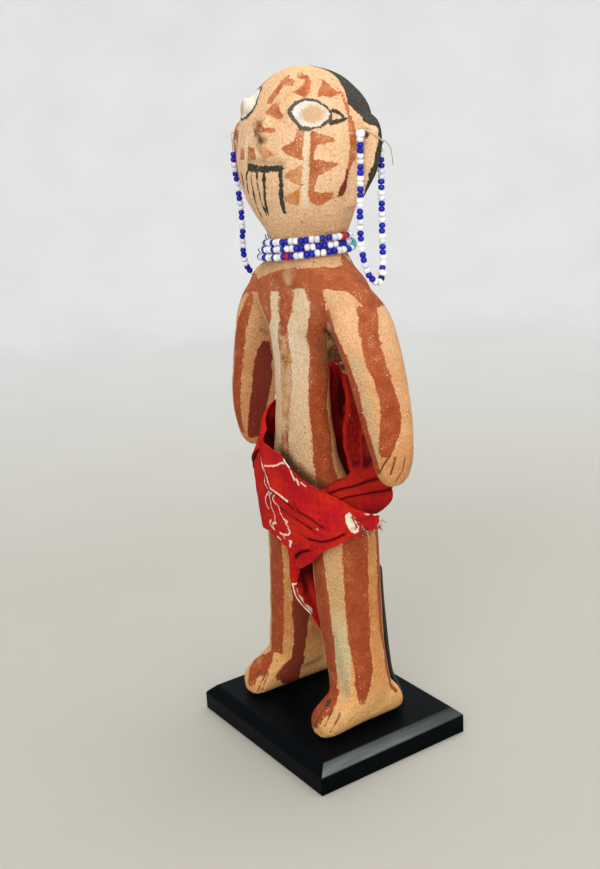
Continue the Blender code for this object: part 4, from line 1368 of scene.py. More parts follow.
def bead_string(name, route, letters, material, pitch, seed, closed=False, start=None):
    """Seed beads threaded along a route: each is a rounded barrel turned about the thread.

    Round the barrel runs an angle; along it the radius is the hole's plus the wall's times
    sin(t)^0.6, and the place along the thread is half the bead's length times -cos(t).
    """
    chance = np.random.default_rng(seed)
    total = path_length(route, closed)
    count = int(round(total / pitch))
    places = (np.arange(count) + 0.5) * total / count
    centre, direction = along_path(route, places, closed)
    if start is not None:
        angle = np.degrees(np.arctan2(centre[:, 0], -centre[:, 1]))
        first_bead = int(np.argmin(np.abs(angle - start)))
        row = (FILL.replace("b", "n") * count)[:count - len(letters)]
        letters = "".join(np.roll(list(letters + row), first_bead))
    letters = (letters + FILL * count)[:count]
    kept = np.array([letter != "." for letter in letters])
    letters = letters.replace(".", "")
    centre, direction, count = centre[kept], direction[kept], int(kept.sum())
    centre[:, 2] -= np.array([LARGE_BEAD_DROP * (letter == "t") for letter in letters])
    size = chance.uniform(0.95, 1.04, count) * np.array([BEAD_SIZES[letter] for letter in letters])
    tip = unit(direction + chance.normal(0.0, 0.06, (count, 3)))
    centre = centre + chance.normal(0.0, 0.05, (count, 3))
    reference = np.where(np.abs(tip[:, :1]) < 0.8, (1.0, 0.0, 0.0), (0.0, 0.0, 1.0))
    first = unit(reference - tip * (reference * tip).sum(axis=1)[:, None])

    rows, columns = BEAD_GRID
    t = np.linspace(0.0, math.pi, rows)
    radius = HOLE_RADIUS + (BEAD_RADIUS - HOLE_RADIUS) * np.sin(t) ** 0.6
    along = -np.cos(t) * pitch * BEAD_HALF
    stretch = np.where(size > 1.2, size, 1.0)
    ring = rings(first, np.cross(tip, first), columns)
    points = (
        centre[:, None, None, :]
        + size[:, None, None, None] * radius[None, :, None, None] * ring[:, None, :, :]
        + (stretch[:, None] * along)[:, :, None, None] * tip[:, None, None, :]
    )
    item = mesh_piece(name, points, repeated(tube_faces(rows, columns), count, rows * columns))
    colours = np.array([BEAD_COLOURS[letter] for letter in letters])
    colours = colours * chance.uniform(0.8, 1.08, (count, 1))
    write_tint(item.data, "tint", np.repeat(np.clip(colours, 0.0, 1.0), rows * columns, axis=0))
    item.data.materials.append(material)
    return item


def thread(name, route, radius, material):
    """Round thread: a smooth curve through the points, as thick as twice the radius."""
    curve = bpy.data.curves.new(name, "CURVE")
    curve.dimensions = "3D"
    curve.bevel_depth = radius * MM
    curve.bevel_resolution = 3
    curve.use_fill_caps = True
    line = curve.splines.new("POLY")
    places = np.column_stack((np.asarray(route) * MM, np.ones(len(route))))
    line.points.add(len(places) - 1)
    line.points.foreach_set("co", places.ravel())
    line.use_smooth = True
    curve.materials.append(material)
    return placed(name, curve)


def strand_route(height, rise):
    """Closed line round the neck, just clear of the clay."""
    angle = np.linspace(-math.pi, math.pi, 192, endpoint=False)
    offset = BEAD_RADIUS + STRAND_CLEARANCE + 0.9 * np.clip(-np.sin(angle), 0.0, 1.0) ** 2
    level = height + rise * np.sin(angle)
    middle, width, depth, _ = columns_at(TRUNK, level)
    _, jaw_width, jaw_depth, _ = columns_at(HEAD, level)
    return np.column_stack((
        (np.maximum(width, jaw_width) + offset) * np.sin(angle),
        middle - (np.maximum(depth, jaw_depth) + offset) * np.cos(angle),
        level,
    ))


# ---------------------------------------------------------------------------
# Settings
# ---------------------------------------------------------------------------

def colour_setting(name, description, value):
    """A colour that the user can change."""
    return bpy.props.FloatVectorProperty(
        name=name, description=description, default=value, size=3, min=0.0, max=1.0,
        subtype="COLOR",
    )


def power_setting(name, description, value):
    """A light's power that the user can change."""
    return bpy.props.FloatProperty(
        name=name, description=description, default=value, min=0.0, unit="POWER",
    )


class FIGURE_ClaySettings(bpy.types.PropertyGroup):
    """Clay body and its paints."""

    grid: bpy.props.FloatProperty(
        name="Grid", description="Size of the grid that joins the clay forms",
        default=0.00098, min=0.0006, max=0.003, precision=5, unit="LENGTH",
    )
    lumps: bpy.props.FloatProperty(
        name="Lumps", description="How far the hand-smoothed surface wanders",
        default=0.00022, min=0.0, max=0.001, precision=5, unit="LENGTH",
    )
    clay_high: colour_setting("Upper clay", "Clay of the head and chest", (0.74, 0.45, 0.245))
    clay_low: colour_setting("Lower clay", "Clay of the legs and feet", (0.61, 0.25, 0.066))
    cream_high: colour_setting("Upper cream", "Cream paint on the chest", (0.81, 0.585, 0.37))
    cream_low: colour_setting("Lower cream", "Cream paint on the leg", (0.52, 0.28, 0.095))
    slip_low: colour_setting("Lower red", "Earth red of the lower stripes", (0.27, 0.036, 0.007))
    slip_high: colour_setting("Upper red", "Earth red of the shoulders", (0.35, 0.070, 0.019))
    white: colour_setting("White paint", "White of the eyes", (0.84, 0.80, 0.74))
    black: colour_setting("Black paint", "Black of the hair and lines", (0.022, 0.022, 0.018))


class FIGURE_BaseSettings(bpy.types.PropertyGroup):
    """Display base and rod."""

    lacquer: colour_setting("Lacquer", "Black of the base and the rod", (0.0001, 0.0008, 0.0014))


class FIGURE_ClothSettings(bpy.types.PropertyGroup):
    """Hip cloth."""

    cloth_red: colour_setting("Red", "Red of the cotton", (0.56, 0.021, 0.009))
    threads: bpy.props.FloatProperty(
        name="Threads", description="Threads per millimetre, each way", default=2.2, min=0.5,
    )


class FIGURE_StageSettings(bpy.types.PropertyGroup):
    """Floor, lights and camera."""

    # Floor and wall are one paper: their two tones are painted light.
    floor_colour: colour_setting("Floor", "Colour of the sweep's floor", (0.42, 0.40, 0.35))
    wall_colour: colour_setting("Wall", "Colour of the sweep's wall", (0.60, 0.595, 0.585))
    key_power: power_setting("Key light", "Power of the large front light", 6.6)
    side_power: power_setting("Side light", "Power of the light on the left side", 2.2)
    top_power: power_setting("Top light", "Power of the overhead light", 4.5)
    wall_power: power_setting("Wall light", "Power of the light on the wall", 5.5)
    room_light: bpy.props.FloatProperty(
        name="Room light", description="Strength of the even light all round", default=0.8,
        min=0.0,
    )


# ---------------------------------------------------------------------------
# Operators
# ---------------------------------------------------------------------------

class FIGURE_OT_clay_body(bpy.types.Operator):
    """Model, carve and paint the clay figure"""

    bl_idname = "pottery_figure.clay_body"
    bl_label = "Clay Body"

    def execute(self, context):
        settings = context.scene.figure_clay
        item = joined_grids("clay_body", body_forms())
        melt = item.modifiers.new("Melt", "REMESH")
        melt.mode = "VOXEL"
        melt.voxel_size = settings.grid
        soften = item.modifiers.new("Soften", "SMOOTH")
        soften.factor = 0.5
        soften.iterations = 6
        settle(item)
        mesh = item.data

        # The face, the hands and the toes get a finer mesh, the cuts in them finer still.
        chart = Charts(read_points(mesh)[0])
        face = (chart.z > 195.0) & (chart.face > -22.0) & (chart.face < 32.0)
        hands = chart.is_arm & (chart.arm_z < 120.0)
        toes = (chart.z < 24.0) & (chart.y < -10.0)
        refine(mesh, face | hands | toes)
        chart = Charts(read_points(mesh)[0])
        hands = chart.is_arm & (chart.arm_z < 118.5) & (chart.x > 0.0)
        toes = (chart.z < 22.5) & (chart.y < -14.5) & (chart.z > SOLE + 1.0)
        refine(mesh, hands | toes)

        points, normals = read_points(mesh)
        fields, chart = paint_fields(points)
        depth = cut_depths(chart, fields)
        lumps = settings.lumps / MM * (
            unevenness(points, 26.0, 3) + 0.5 * unevenness(points, 9.0, 5)
        )
        lumps *= rise(chart.z - SOLE - 0.5, 2.0)
        write_points(mesh, points + normals * (lumps - depth)[:, None])

        worn = np.where(chart.is_head, 0.20, 0.08)
        centre = chart.is_trunk & (np.abs(chart.trunk - 2.0) < 28.0)
        fields["worn"] = np.where(centre, np.interp(chart.z, *np.array(CENTRE_WEAR).T), worn)
        for name, values in fields.items():
            write_field(mesh, name, values)
        mesh.materials.clear()
        mesh.materials.append(painted_clay(settings))
        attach(item, "root")
        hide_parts("figure")
        return {"FINISHED"}


# Support rod from the base up behind the left leg.
ROD = (
    (19.8, 19.6, 10.8),
    (19.6, 18.6, 15),
    (18.5, 15.8, 23),
    (18.3, 14.6, 32),
    (17.8, 14.1, 42),
    (16.9, 13.9, 54),
    (16.4, 13.8, 67),
)
ROD_RADIUS = 1.0


def swept_tube(route, radius):
    """Tube along a line: rings square to the line, turned as little as possible."""
    way = unit(np.gradient(route, axis=0))
    side = unit(np.cross(way, (0.31, 0.95, 0.05)))
    return route[:, None] + radius[:, None, None] * rings(side, np.cross(way, side), TUBE_SIDES)


class FIGURE_OT_display_base(bpy.types.Operator):
    """Finish the display base and bend the support rod"""

    bl_idname = "pottery_figure.display_base"
    bl_label = "Display Base"

    def execute(self, context):
        settings = context.scene.figure_base
        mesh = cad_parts["display_base"].data
        mesh.materials.clear()
        mesh.materials.append(black_lacquer(settings))
        route = rows_between(ROD, STEPS_BETWEEN)
        taper = np.full(len(route), ROD_RADIUS)
        taper[-1] *= 0.6
        faces = tube_faces(len(route), TUBE_SIDES)
        rod = mesh_piece("rod", swept_tube(route, taper), faces, recalculate=True)
        rod.data.materials.append(black_rod(settings))
        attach(rod, "root")
        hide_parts("support_rod")
        return {"FINISHED"}


class FIGURE_OT_necklace(bpy.types.Operator):
    """Thread the seed beads round the neck"""

    bl_idname = "pottery_figure.necklace"
    bl_label = "Necklace"

    def execute(self, context):
        glass = bead_glass()
        string = thread_fibre("dark_thread", (0.018, 0.016, 0.014))
        for index, (name, height, rise, letters, first_angle) in enumerate(STRANDS):
            route = strand_route(height, rise)
            item = bead_string("necklace_beads_" + name, route, letters, glass, NECK_BEAD,
                               10 + index, closed=True, start=first_angle)
            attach(item, "root")
            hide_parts("necklace_" + name)
            # The thread starts and ends outside the beads, 0.30 of the way round from the back.
            round_neck = np.roll(route, -int(len(route) * 0.30), axis=0)[::4]
            start, end = round_neck[0] + np.array(THREAD_START), round_neck[0] + THREAD_END
            line = rows_between(np.vstack((start, round_neck, end)), 3)
            cord = thread("necklace_thread_" + name, line, NECK_THREAD, string)
            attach(cord, "root")
        return {"FINISHED"}


class FIGURE_OT_ear_loops(bpy.types.Operator):
    """Hang the bead loops from the ears"""

    bl_idname = "pottery_figure.ear_loops"
    bl_label = "Ear Loops"

    def execute(self, context):
        glass = bead_glass()
        fibre = thread_fibre("cream_thread", (0.62, 0.54, 0.38))
        loops = (
            ("left", LEFT_LOOP, LEFT_BEADS, LEFT_KNOT, LEFT_TAIL),
            ("right", RIGHT_LOOP, RIGHT_BEADS, RIGHT_KNOT, RIGHT_TAIL),
        )
        for side, places, letters, knot, tail in loops:
            route = rows_between(places, 8)
            item = bead_string("ear_beads_" + side, route, letters, glass, LOOP_BEAD, 20)
            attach(item, "root")
            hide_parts("ear_loop_" + side)
            end = thread("ear_thread_end_" + side, rows_between(tail, 6), NECK_THREAD, fibre)
            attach(end, "root")
            line = np.vstack((route, rows_between(knot, 6)[1:]))
            cord = thread("ear_thread_" + side, line, EAR_THREAD, fibre)
            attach(cord, "root")
        return {"FINISHED"}


# ---------------------------------------------------------------------------
# Hip cloth
# ---------------------------------------------------------------------------

# Rings round the hips: height, middle y, half width, half depth.
WRAP = (
    (68, -0.3, 28.8, 14.9),
    (84, -0.3, 29.4, 15.4),
    (95, -0.9, 30.4, 15.8),
    (104, -1.8, 29, 15.2),
    (114, -3.2, 24.2, 13.4),
    (124, -4.4, 19.8, 11.8),
    (134, -5, 18.2, 10.8),
    (144, -5.2, 17, 10.4),
)
WRAP_POWER = 2.9
# Places where the cloth stands away from the body: turn, height, reach in degrees and
# in height, and how far.
WRAP_BULGES = (
    (102, 103, 20, 6, 5.5),
    (97, 99.5, 9, 4, 2.2),
    (143, 124, 26, 15, 4),
    (8, 113, 26, 9, 2),
)
# The cloth winds once round and on over its own beginning: turn in degrees from the
# front towards the figure's left, lower edge, upper edge.
WRAP_EDGES = (
    (24, 94, 101.5),
    (44, 97.5, 105.1),
    (59, 99, 107.4),
    (76, 97.5, 108.9),
    (86, 95.6, 109.7),
    (89, 95.3, 111.2),
    (92, 95.1, 115.8),
    (96, 95, 120.6),
    (107, 97.8, 129),
    (117, 98.4, 136.4),
    (122, 98.6, 141),
    (138, 97, 144.8),
    (150, 94, 146.5),
    (162, 88, 147),
    (180, 84, 142.5),
    (210, 80, 136),
    (255, 79, 131),
    (295, 78.5, 125.5),
    (330, 79, 119.5),
    (342, 80.3, 117.6),
    (352, 79, 116.5),
    (358, 78.2, 116),
    (361, 77.2, 115.6),
    (363, 73.6, 115.2),
    (365, 71.2, 114.8),
    (368, 71.5, 114),
    (374, 73.5, 111.6),
    (383, 76.8, 108.6),
    (397, 82.1, 106),
    (414, 85.2, 103.8),
    (424, 87.1, 102),
    (430, 88.4, 100.8),
    (437, 88.7, 98),
    (441.5, 89.4, 94.8),
)
CLOTH_THICKNESS = 0.45
# Rows up the wound band and columns along it.
CLOTH_GRID = (84, 440)
# Folds across the cloth: along turn and height; width of the soft side and of the sharp
# side, and height. A positive height is a rolled ridge, a negative one a crease.
WRAP_FOLDS = (
    (((342.6, 116.8), (345.6, 113.5), (349.6, 111), (353.6, 108.5), (355.6, 105.9),
      (356.6, 103)), 4, 0.5, 1.2),
    (((347.5, 103.6), (350.5, 100.7), (355, 99.3), (359, 98.7), (363, 97.9),
      (367, 97), (371, 95.6)), 4.5, 0.5, 1.3),
    (((359, 93.7), (363, 93.4), (369, 92.6), (376, 91.8), (384, 90.7), (389, 90)),
     4, 0.5, 1),
    (((371, 97.4), (382, 95.6), (389, 94.4), (397, 92.6), (403, 91)), 3, 0.5, 0.7),
    (((378, 86.1), (387, 86.3), (394, 86.4), (402, 87.5), (409, 88.4), (417, 89.8),
      (425, 91)), 3, 0.5, 1.2),
    (((363.4, 74.6), (366.6, 77.2), (372.6, 79.9), (382, 81.8)), 2.4, 0.5, 1.2),
    (((47, 104.4), (64, 106.2), (79, 107), (92, 107.8), (117, 107.8)), 2.2, 0.5, 1.1),
    (((52, 102.3), (62, 103), (75, 103.9), (90, 104.6), (123, 104)), 2.6, 0.5, 1.4),
    (((196, 80), (222, 92), (250, 104), (285, 118)), 5, 1, 1.4),
    (((176, 88), (205, 102), (235, 116), (262, 127)), 5, 0.9, 1.5),
    (((240, 84), (275, 93), (305, 104), (330, 113)), 4, 1, 1.1),
    (((190, 108), (206, 118), (226, 127), (246, 131)), 4, 1, 1),
    (((112, 100), (128, 106), (146, 110)), 2.6, 0.8, 1),
)
# White line print on the cloth: half width, then the line.
WRAP_PRINT = (
    (0.22, ((108, 128.6), (113, 126.2))),
    (0.25, ((338, 111.8), (346, 108.1), (350, 102.6), (353, 100.6), (355, 99.4))),
    (0.25, ((339, 111.4), (343, 111.5), (346, 111))),
    (0.34, ((346, 108.1), (350, 106.2), (353, 103.7), (356, 101.3), (359, 100.3),
            (362, 98.9), (366, 98.1))),
    (0.30, ((354, 108.5), (360, 109.9), (365, 112.3), (368, 112.4))),
    (0.48, ((368, 114), (371.5, 113), (373, 111.2), (373.4, 109), (374.4, 107.4))),
    (0.55, ((377, 107.7), (378, 106.1))),
    (0.28, ((381, 107.2), (386, 106.1))),
    (0.27, ((353, 98), (348, 95.6), (345, 93.1), (345, 91.1), (346, 89.7))),
    (0.27, ((355, 97.8), (351.5, 95.6), (352, 93.9), (351.3, 91.7), (352.3, 89.8),
            (354, 88.1), (353.5, 85.8))),
    (0.30, ((357, 97.3), (356, 95.7), (357.5, 94.4), (359, 93), (359, 90.9),
            (360, 88.7))),
    (0.38, ((360, 88.7), (361.6, 88.6), (360.3, 87.5), (361.6, 86.5))),
    (0.38, ((361, 85.6), (362.4, 84.9), (361, 83.2), (359, 82), (356.6, 82))),
    (0.26, ((359.4, 82.4), (359.2, 80.9), (361.6, 80.9))),
    (0.40, ((355, 85.6), (351.5, 84.9), (349.5, 83.4), (350.8, 82.2), (347, 82.6),
            (345, 83.7), (347.6, 85.2))),
    (0.30, ((354, 79.9), (357, 79.4))),
    (0.60, ((362.6, 81), (361.6, 78.8))),
    (0.30, ((391.5, 90.6), (392.5, 90.4))),
    (0.14, ((138, 130), (141, 116), (144, 104))),
    (0.30, ((150, 124), (147, 122.6))),
)
LEAF = ((425.5, 97), (431, 98), (436.6, 95.4), (440.2, 92.2), (438.8, 90.1), (434, 89.6),
        (429, 91.2), (425, 94.4))
LEAF_VEINS = (((433, 96), (436, 93), (438.4, 91.4)), ((435, 91), (437, 93.4)))


def signed_power(value, power):
    """Each value's size raised to a power, with its sign kept."""
    return np.sign(value) * np.abs(value) ** power


def wrap_place(turn, height, lift):
    """Points round the hips: half width times sin(turn)^p and half depth times cos(turn)^p."""
    middle, half_width, half_depth = columns_at(WRAP, height)
    for at_turn, at_height, turns, heights, push in WRAP_BULGES:
        away = (((turn - at_turn + 180.0) % 360.0 - 180.0) / turns) ** 2
        lift = lift + push * np.exp(-away - ((height - at_height) / heights) ** 2)
    spin, power = np.radians(turn), 2.0 / WRAP_POWER
    return grid_points(
        (half_width + lift) * signed_power(np.sin(spin), power),
        middle - (half_depth + lift) * signed_power(np.cos(spin), power),
        height,
    )


def wrap_lengths():
    """Turns in degrees, and the length round the widest ring up to each."""
    turn = np.arange(-180.0, 541.0, 0.5)
    ring = wrap_place(turn, np.full(turn.shape, 95.0), 0.0)
    length = lengths_along(ring)
    return turn, length - np.interp(0.0, turn, length)


WRAP_TURNS, WRAP_LENGTHS = wrap_lengths()


def length_at(turn):
    """Length round the widest ring at a turn in degrees."""
    return np.interp(turn, WRAP_TURNS, WRAP_LENGTHS)


def on_cloth(line, half=None):
    """A line in turn and height as length and height, with its half width where given."""
    line = np.asarray(line, dtype=float)
    columns = [length_at(line[:, 0]), line[:, 1]]
    if half is not None:
        columns.append(np.full(len(line), half))
    return np.column_stack(columns)


def line_sides(u, v, stations):
    """Signed distance in millimetres from an open line, positive on its left."""
    best = np.full(np.shape(u), 1e9)
    sign = np.ones(np.shape(u))
    for start, end in zip(stations[:-1], stations[1:]):
        du, dv = end - start
        gap = segment_gap(u, v, start, end)[1]
        near = gap < best
        side = np.where((v - start[1]) * du - (u - start[0]) * dv >= 0.0, 1.0, -1.0)
        sign = np.where(near, side, sign)
        best = np.where(near, gap, best)
    return best * sign


# A ridge on the panel that rises from the hip to the armpit, behind the hip band.
PANEL_LINE = ((131, 124.5), (115, 117.5), (97, 110.9))
PANEL_RIDGE = ((PANEL_LINE, 1.3, 0.6, 0.9),)


def back_hollow(turn, v):
    """A long hollow of the back layer: a bell over its width times a bell over its height."""
    across = turn - 168.4 + 0.75 * (v - 131.0)
    return np.exp(-(across / 5.6) ** 2 - ((v - 131.5) / 8.0) ** 2)


def panel_share(turn, v):
    """Where the panel stands behind the hip band: 1 above the band's edge, 0 elsewhere."""
    sides = rise(turn - 86.0, 3.0) * rise(146.0 - turn, 8.0)
    return sides * rise(v - 110.0, 0.7)


def panel_shade(turn, v):
    """Shade of the panel in the gap: dark at its foot, lit on its edge and its ridge."""
    flat = np.column_stack((turn.ravel() * 0.25, v.ravel() * 0.5, np.zeros(turn.size)))
    streaks = unevenness(flat, 1.0, 37).reshape(turn.shape)
    panel = 0.60 + 0.16 * streaks + 0.35 * bell(v - 110.6, 1.6)
    foot = np.exp(-((turn - 112.0) / 11.0) ** 2 - ((v - 111.5) / 3.6) ** 2)
    panel = np.maximum(panel, 0.95 * foot)
    panel = panel * np.clip((v[-1:] - v) / 1.3, 0.2, 1.0)
    ridge = v - np.interp(turn, *np.array(PANEL_LINE[::-1]).T)
    panel = panel * np.clip(np.abs(ridge) / 0.8, 0.35, 1.0)
    return panel * panel_share(turn, v)


def fold_gaps(u, v, line):
    """Signed distance to a fold's smooth line, and distance to the nearer of its ends."""
    stations = rows_between(on_cloth(line), 6)
    ends = [np.hypot(u - end[0], v - end[1]) for end in (stations[0], stations[-1])]
    return line_sides(u, v, stations), np.minimum(*ends)


def fold_lift(u, v, folds):
    """Sum of the folds: each rises gently to its line and drops sharply on the other side."""
    lift = np.zeros(np.shape(u))
    for line, soft, sharp, height in folds:
        gap, ends = fold_gaps(u, v, line)
        fade = rise(ends, 3.5)
        width = np.where(gap > 0.0, soft, sharp)
        lift = lift + height * fade * bell(gap, width)
    return lift


def fold_shade(u, v, folds):
    """Painted shade in the creases, from 0 to 1: a narrow line along the foot of each fold's sharp
    side.
    """
    shade = np.zeros(np.shape(u))
    for line, _, sharp, height in folds:
        gap, ends = fold_gaps(u, v, line)
        foot = gap + sharp if height > 0.0 else gap
        fade = rise(ends, 2.0) * min(1.0, 0.3 + 0.7 * abs(height))
        shade = np.maximum(shade, fade * bell(foot, 0.55 + 0.3 * sharp))
    return shade


def cloth_grid():
    """The wound band: rows across from its lower to its upper edge, columns along it."""
    u = np.linspace(length_at(WRAP_EDGES[0][0]), length_at(WRAP_EDGES[-1][0]), CLOTH_GRID[1])
    turn = np.interp(u, WRAP_LENGTHS, WRAP_TURNS)
    edges = rows_between(WRAP_EDGES, STEPS_BETWEEN)
    low = np.interp(turn, edges[:, 0], edges[:, 1])
    high = np.interp(turn, edges[:, 0], edges[:, 2])
    chance = unevenness(np.column_stack((u, low, np.zeros(len(u)))), 5.0, 31)
    share = np.linspace(0.0, 1.0, CLOTH_GRID[0])[:, None]
    v = low + 0.15 * chance + (high - low) * share
    u = np.broadcast_to(u, v.shape)
    turn = np.broadcast_to(turn, v.shape)
    return u, v, turn, share


# Hanging corner: height, middle x, middle y, half width; its width runs 60 degrees from
# sideways towards the back.
CORNER = (
    (82, 1.6, -13, 3.2),
    (78, 1.8, -12.2, 3.5),
    (74, 2, -11.3, 3.8),
    (66, 1.5, -10.5, 4.2),
    (61.6, 1.9, -10, 4.5),
    (57, 2.7, -9.7, 4.1),
    (53, 4.3, -8.9, 2.8),
    (50, 5.6, -8.1, 1.8),
    (45, 7.5, -7.5, 0.7),
    (42.8, 8.2, -7.2, 0.3),
)
CORNER_TURN = 60.0
# Shares of its section where its half turn begins and ends, the share between, and the radius.
TURN_FROM, TURN_TO = 0.62, 0.72
TURN_SHARE = 0.10
TURN_RADIUS = 0.62
# Frayed flap on the left hip: turn, lower edge, upper edge.
FLAP = (
    (70, 98.6, 100.2),
    (76, 96.4, 99.4),
    (82, 93.6, 98.4),
    (87, 90.8, 97.2),
    (89.5, 89.6, 96.2),
    (92, 90.6, 95.2),
    (94.5, 92.4, 94),
)
FLAP_PRINT = (
    (0.25, ((85, 97), (88, 96.4))),
    (0.25, ((90, 95.8), (93, 95.1))),
    (0.28, ((94.5, 94.8), (98, 93.8))),
)
# Frayed threads: how many, how many of them along the cut edges, their radius, and the points
# along each and round it.
FRINGE = 230
EDGE_FRINGE = 150
FRINGE_RADIUS = 0.09
FRINGE_GRID = (5, 3)
# Ragged hem drawn up against the web of the left arm.
ARMPIT_HEM = ((13.9, -4.8, 145.4), (13.2, -2.7, 145), (12.8, -0.8, 145.3), (14.5, -0.8, 146),
              (17, -0.9, 146.8), (18.8, -0.7, 145.6))


def flat_map(mesh, flat):
    """Lay the sheet's flat millimetre places out as its UV map."""
    layer = mesh.uv_layers.new(name="flat")
    corner = np.empty(len(mesh.loops), dtype=np.int32)
    mesh.loops.foreach_get("vertex_index", corner)
    flat = np.asarray(flat).reshape(-1, 2)
    layer.data.foreach_set("uv", (flat[corner] * MM).ravel().astype(np.float32))


def corner_grid():
    """Hanging corner: across it runs back to its left edge, turns, and comes forward over itself.

    The section goes from the right edge to the left one, sinking into a hollow, then round a
    half turn of the fold's radius and back over a share of the width that dies out below.
    """
    rows = rows_between(CORNER, 14)
    height, middle_x, middle_y, half = rows.T
    height, half = height[:, None], half[:, None]
    s = np.linspace(0.0, 1.0, 64)[None, :]
    behind = s < TURN_FROM
    back = 1.0 - 2.0 * rise(s, TURN_FROM)
    turn = rise(s - TURN_FROM, TURN_SHARE) * math.pi
    front = rise(s - TURN_TO, 0.28)
    cover = 0.12 + 0.62 * rise(height - 60.5, 7.0)
    radius = TURN_RADIUS * np.clip(half / 3.0, 0.15, 1.0)
    radius = radius * (0.5 + 0.5 * rise(height - 60.0, 6.0))
    across = half * back - radius * np.sin(turn) + cover * half * front
    hollow = bell(back + 0.02, 0.30) * behind
    deep = rise(half - 1.5, 2.0)
    depth = radius * (1.0 - np.cos(turn)) + 0.25 * np.sin(3.0 * front) * half / 4.0
    depth = depth - 2.2 * hollow * deep
    depth = depth + 0.5 * np.sin(back * 2.6 + height * 0.22) * rise(half, 4.0)
    spin = math.radians(CORNER_TURN)
    points = grid_points(
        middle_x[:, None] + across * math.cos(spin) + depth * math.sin(spin),
        middle_y[:, None] + across * math.sin(spin) - depth * math.cos(spin),
        height,
    )
    u, v = np.broadcast_arrays(half * (1.0 - back) + half * front, height)
    bite = np.abs(np.sin(math.pi * (v - 50.6) / 3.8))
    scallop = np.abs(u - 2.0 * half) - 0.5 - 1.1 * bite * rise(62.5 - v, 4.0)
    white = np.maximum(scallop, np.maximum(v - 62.0, 50.6 - v))
    hem = np.maximum(np.abs(v - 62.4) - 0.35, np.where(behind, 2.0, -1.0))
    shade = rise(v - 53.0, 6.0) * hollow
    shade = np.maximum(shade, (0.36 + 0.55 * rise(v - 59.0, 9.0)) * behind)
    return points, np.stack((u, v), axis=-1), np.minimum(white, hem), shade


def flap_grid():
    """Flap on the wrap's ring, lifting away towards its frayed end."""
    rows = rows_between(FLAP, 8)
    share = np.linspace(0.0, 1.0, 22)[:, None]
    v = rows[:, 1] + (rows[:, 2] - rows[:, 1]) * share
    turn = np.broadcast_to(rows[:, 0], v.shape)
    u = length_at(turn)
    away = (turn - 62.0) / 36.0
    lift = 0.9 + 0.6 * away + 0.35 * np.sin(away * 9.0 + share * 4.0)
    return u, v, wrap_place(turn, v, lift)


def frayed_threads():
    """Loose cotton threads: thin three-sided tubes that bend out from the cut edges."""
    chance = np.random.default_rng(77)
    share = chance.uniform(0.0, 1.0, FRINGE)
    order = np.arange(FRINGE)
    kind = np.where(order < EDGE_FRINGE, order % 3, 3)
    at_hem = kind[:, None] == 3
    turn = np.select([kind == 0, kind == 1], [150.0 + 36.0 * share, 84.0 + 14.0 * share],
                     72.0 + 18.0 * share)
    height = np.select(
        [kind == 0, kind == 1],
        [np.interp(turn, (150.0, 162.0, 186.0), (138.5, 142.3, 140.0)),
         np.interp(turn, (84.0, 91.0, 95.0, 98.0), (91.4, 89.4, 90.4, 92.6))],
        np.interp(turn, (72.0, 80.0, 90.0), (97.2, 93.6, 89.6)),
    )
    root = wrap_place(turn, height, np.where(kind == 0, 0.2, 1.4))
    outer = wrap_place(turn + 4.0, height, np.where(kind == 0, 1.0, 3.4))
    way = unit(outer - root)
    way = way * np.where(kind == 0, 0.35, 0.5)[:, None] + chance.normal(0.0, 0.35, (FRINGE, 3))
    way[:, 2] += np.where(kind == 0, 0.9, -0.9)
    hem = rows_between(ARMPIT_HEM, 16)
    armpit = hem[np.minimum((share * len(hem)).astype(int), len(hem) - 1)]
    armpit = armpit + chance.normal(0.0, 0.25, (FRINGE, 3))
    root = np.where(at_hem, armpit, root)
    tufts = np.array((0.35, -0.40, 0.55)) + chance.normal(0.0, 0.30, (FRINGE, 3))
    way = unit(np.where(at_hem, tufts, way))
    length = chance.uniform(0.8, 2.4, FRINGE)
    bend = chance.normal(0.0, 0.5, (FRINGE, 3))
    rows, columns = FRINGE_GRID
    t = np.linspace(0.0, 1.0, rows)
    line = root[:, None] + length[:, None, None] * (
        t[:, None] * way[:, None] + (t ** 2)[:, None] * bend[:, None] * 0.6
    )
    side = unit(np.cross(way, (0.3, 0.5, 0.8)))
    ring = rings(side, np.cross(way, side), columns)
    points = line[:, :, None] + FRINGE_RADIUS * ring[:, None]
    faces = repeated(tube_faces(rows, columns), FRINGE, rows * columns)
    item = mesh_piece("hip_cloth_fringe", points, faces, recalculate=True)
    pale = chance.uniform(size=FRINGE) < np.where(kind == 3, 0.08, 0.28)
    write_field(item.data, "white", np.repeat(np.where(pale, -1.0, 2.0), rows * columns))
    flat_map(item.data, np.zeros((FRINGE * rows * columns, 2)))
    return item


def sheet_piece(name, points, flat, cotton):
    """Open sheet of cotton from a grid of points, laid out flat and given its thickness."""
    rows, columns = points.shape[:2]
    item = mesh_piece(name, points, tube_faces(rows, columns, ends=False, closed=False))
    flat_map(item.data, flat)
    wall = item.modifiers.new("Wall", "SOLIDIFY")
    wall.thickness = CLOTH_THICKNESS * MM
    wall.offset = 0.0
    item.data.materials.append(cotton)
    return item


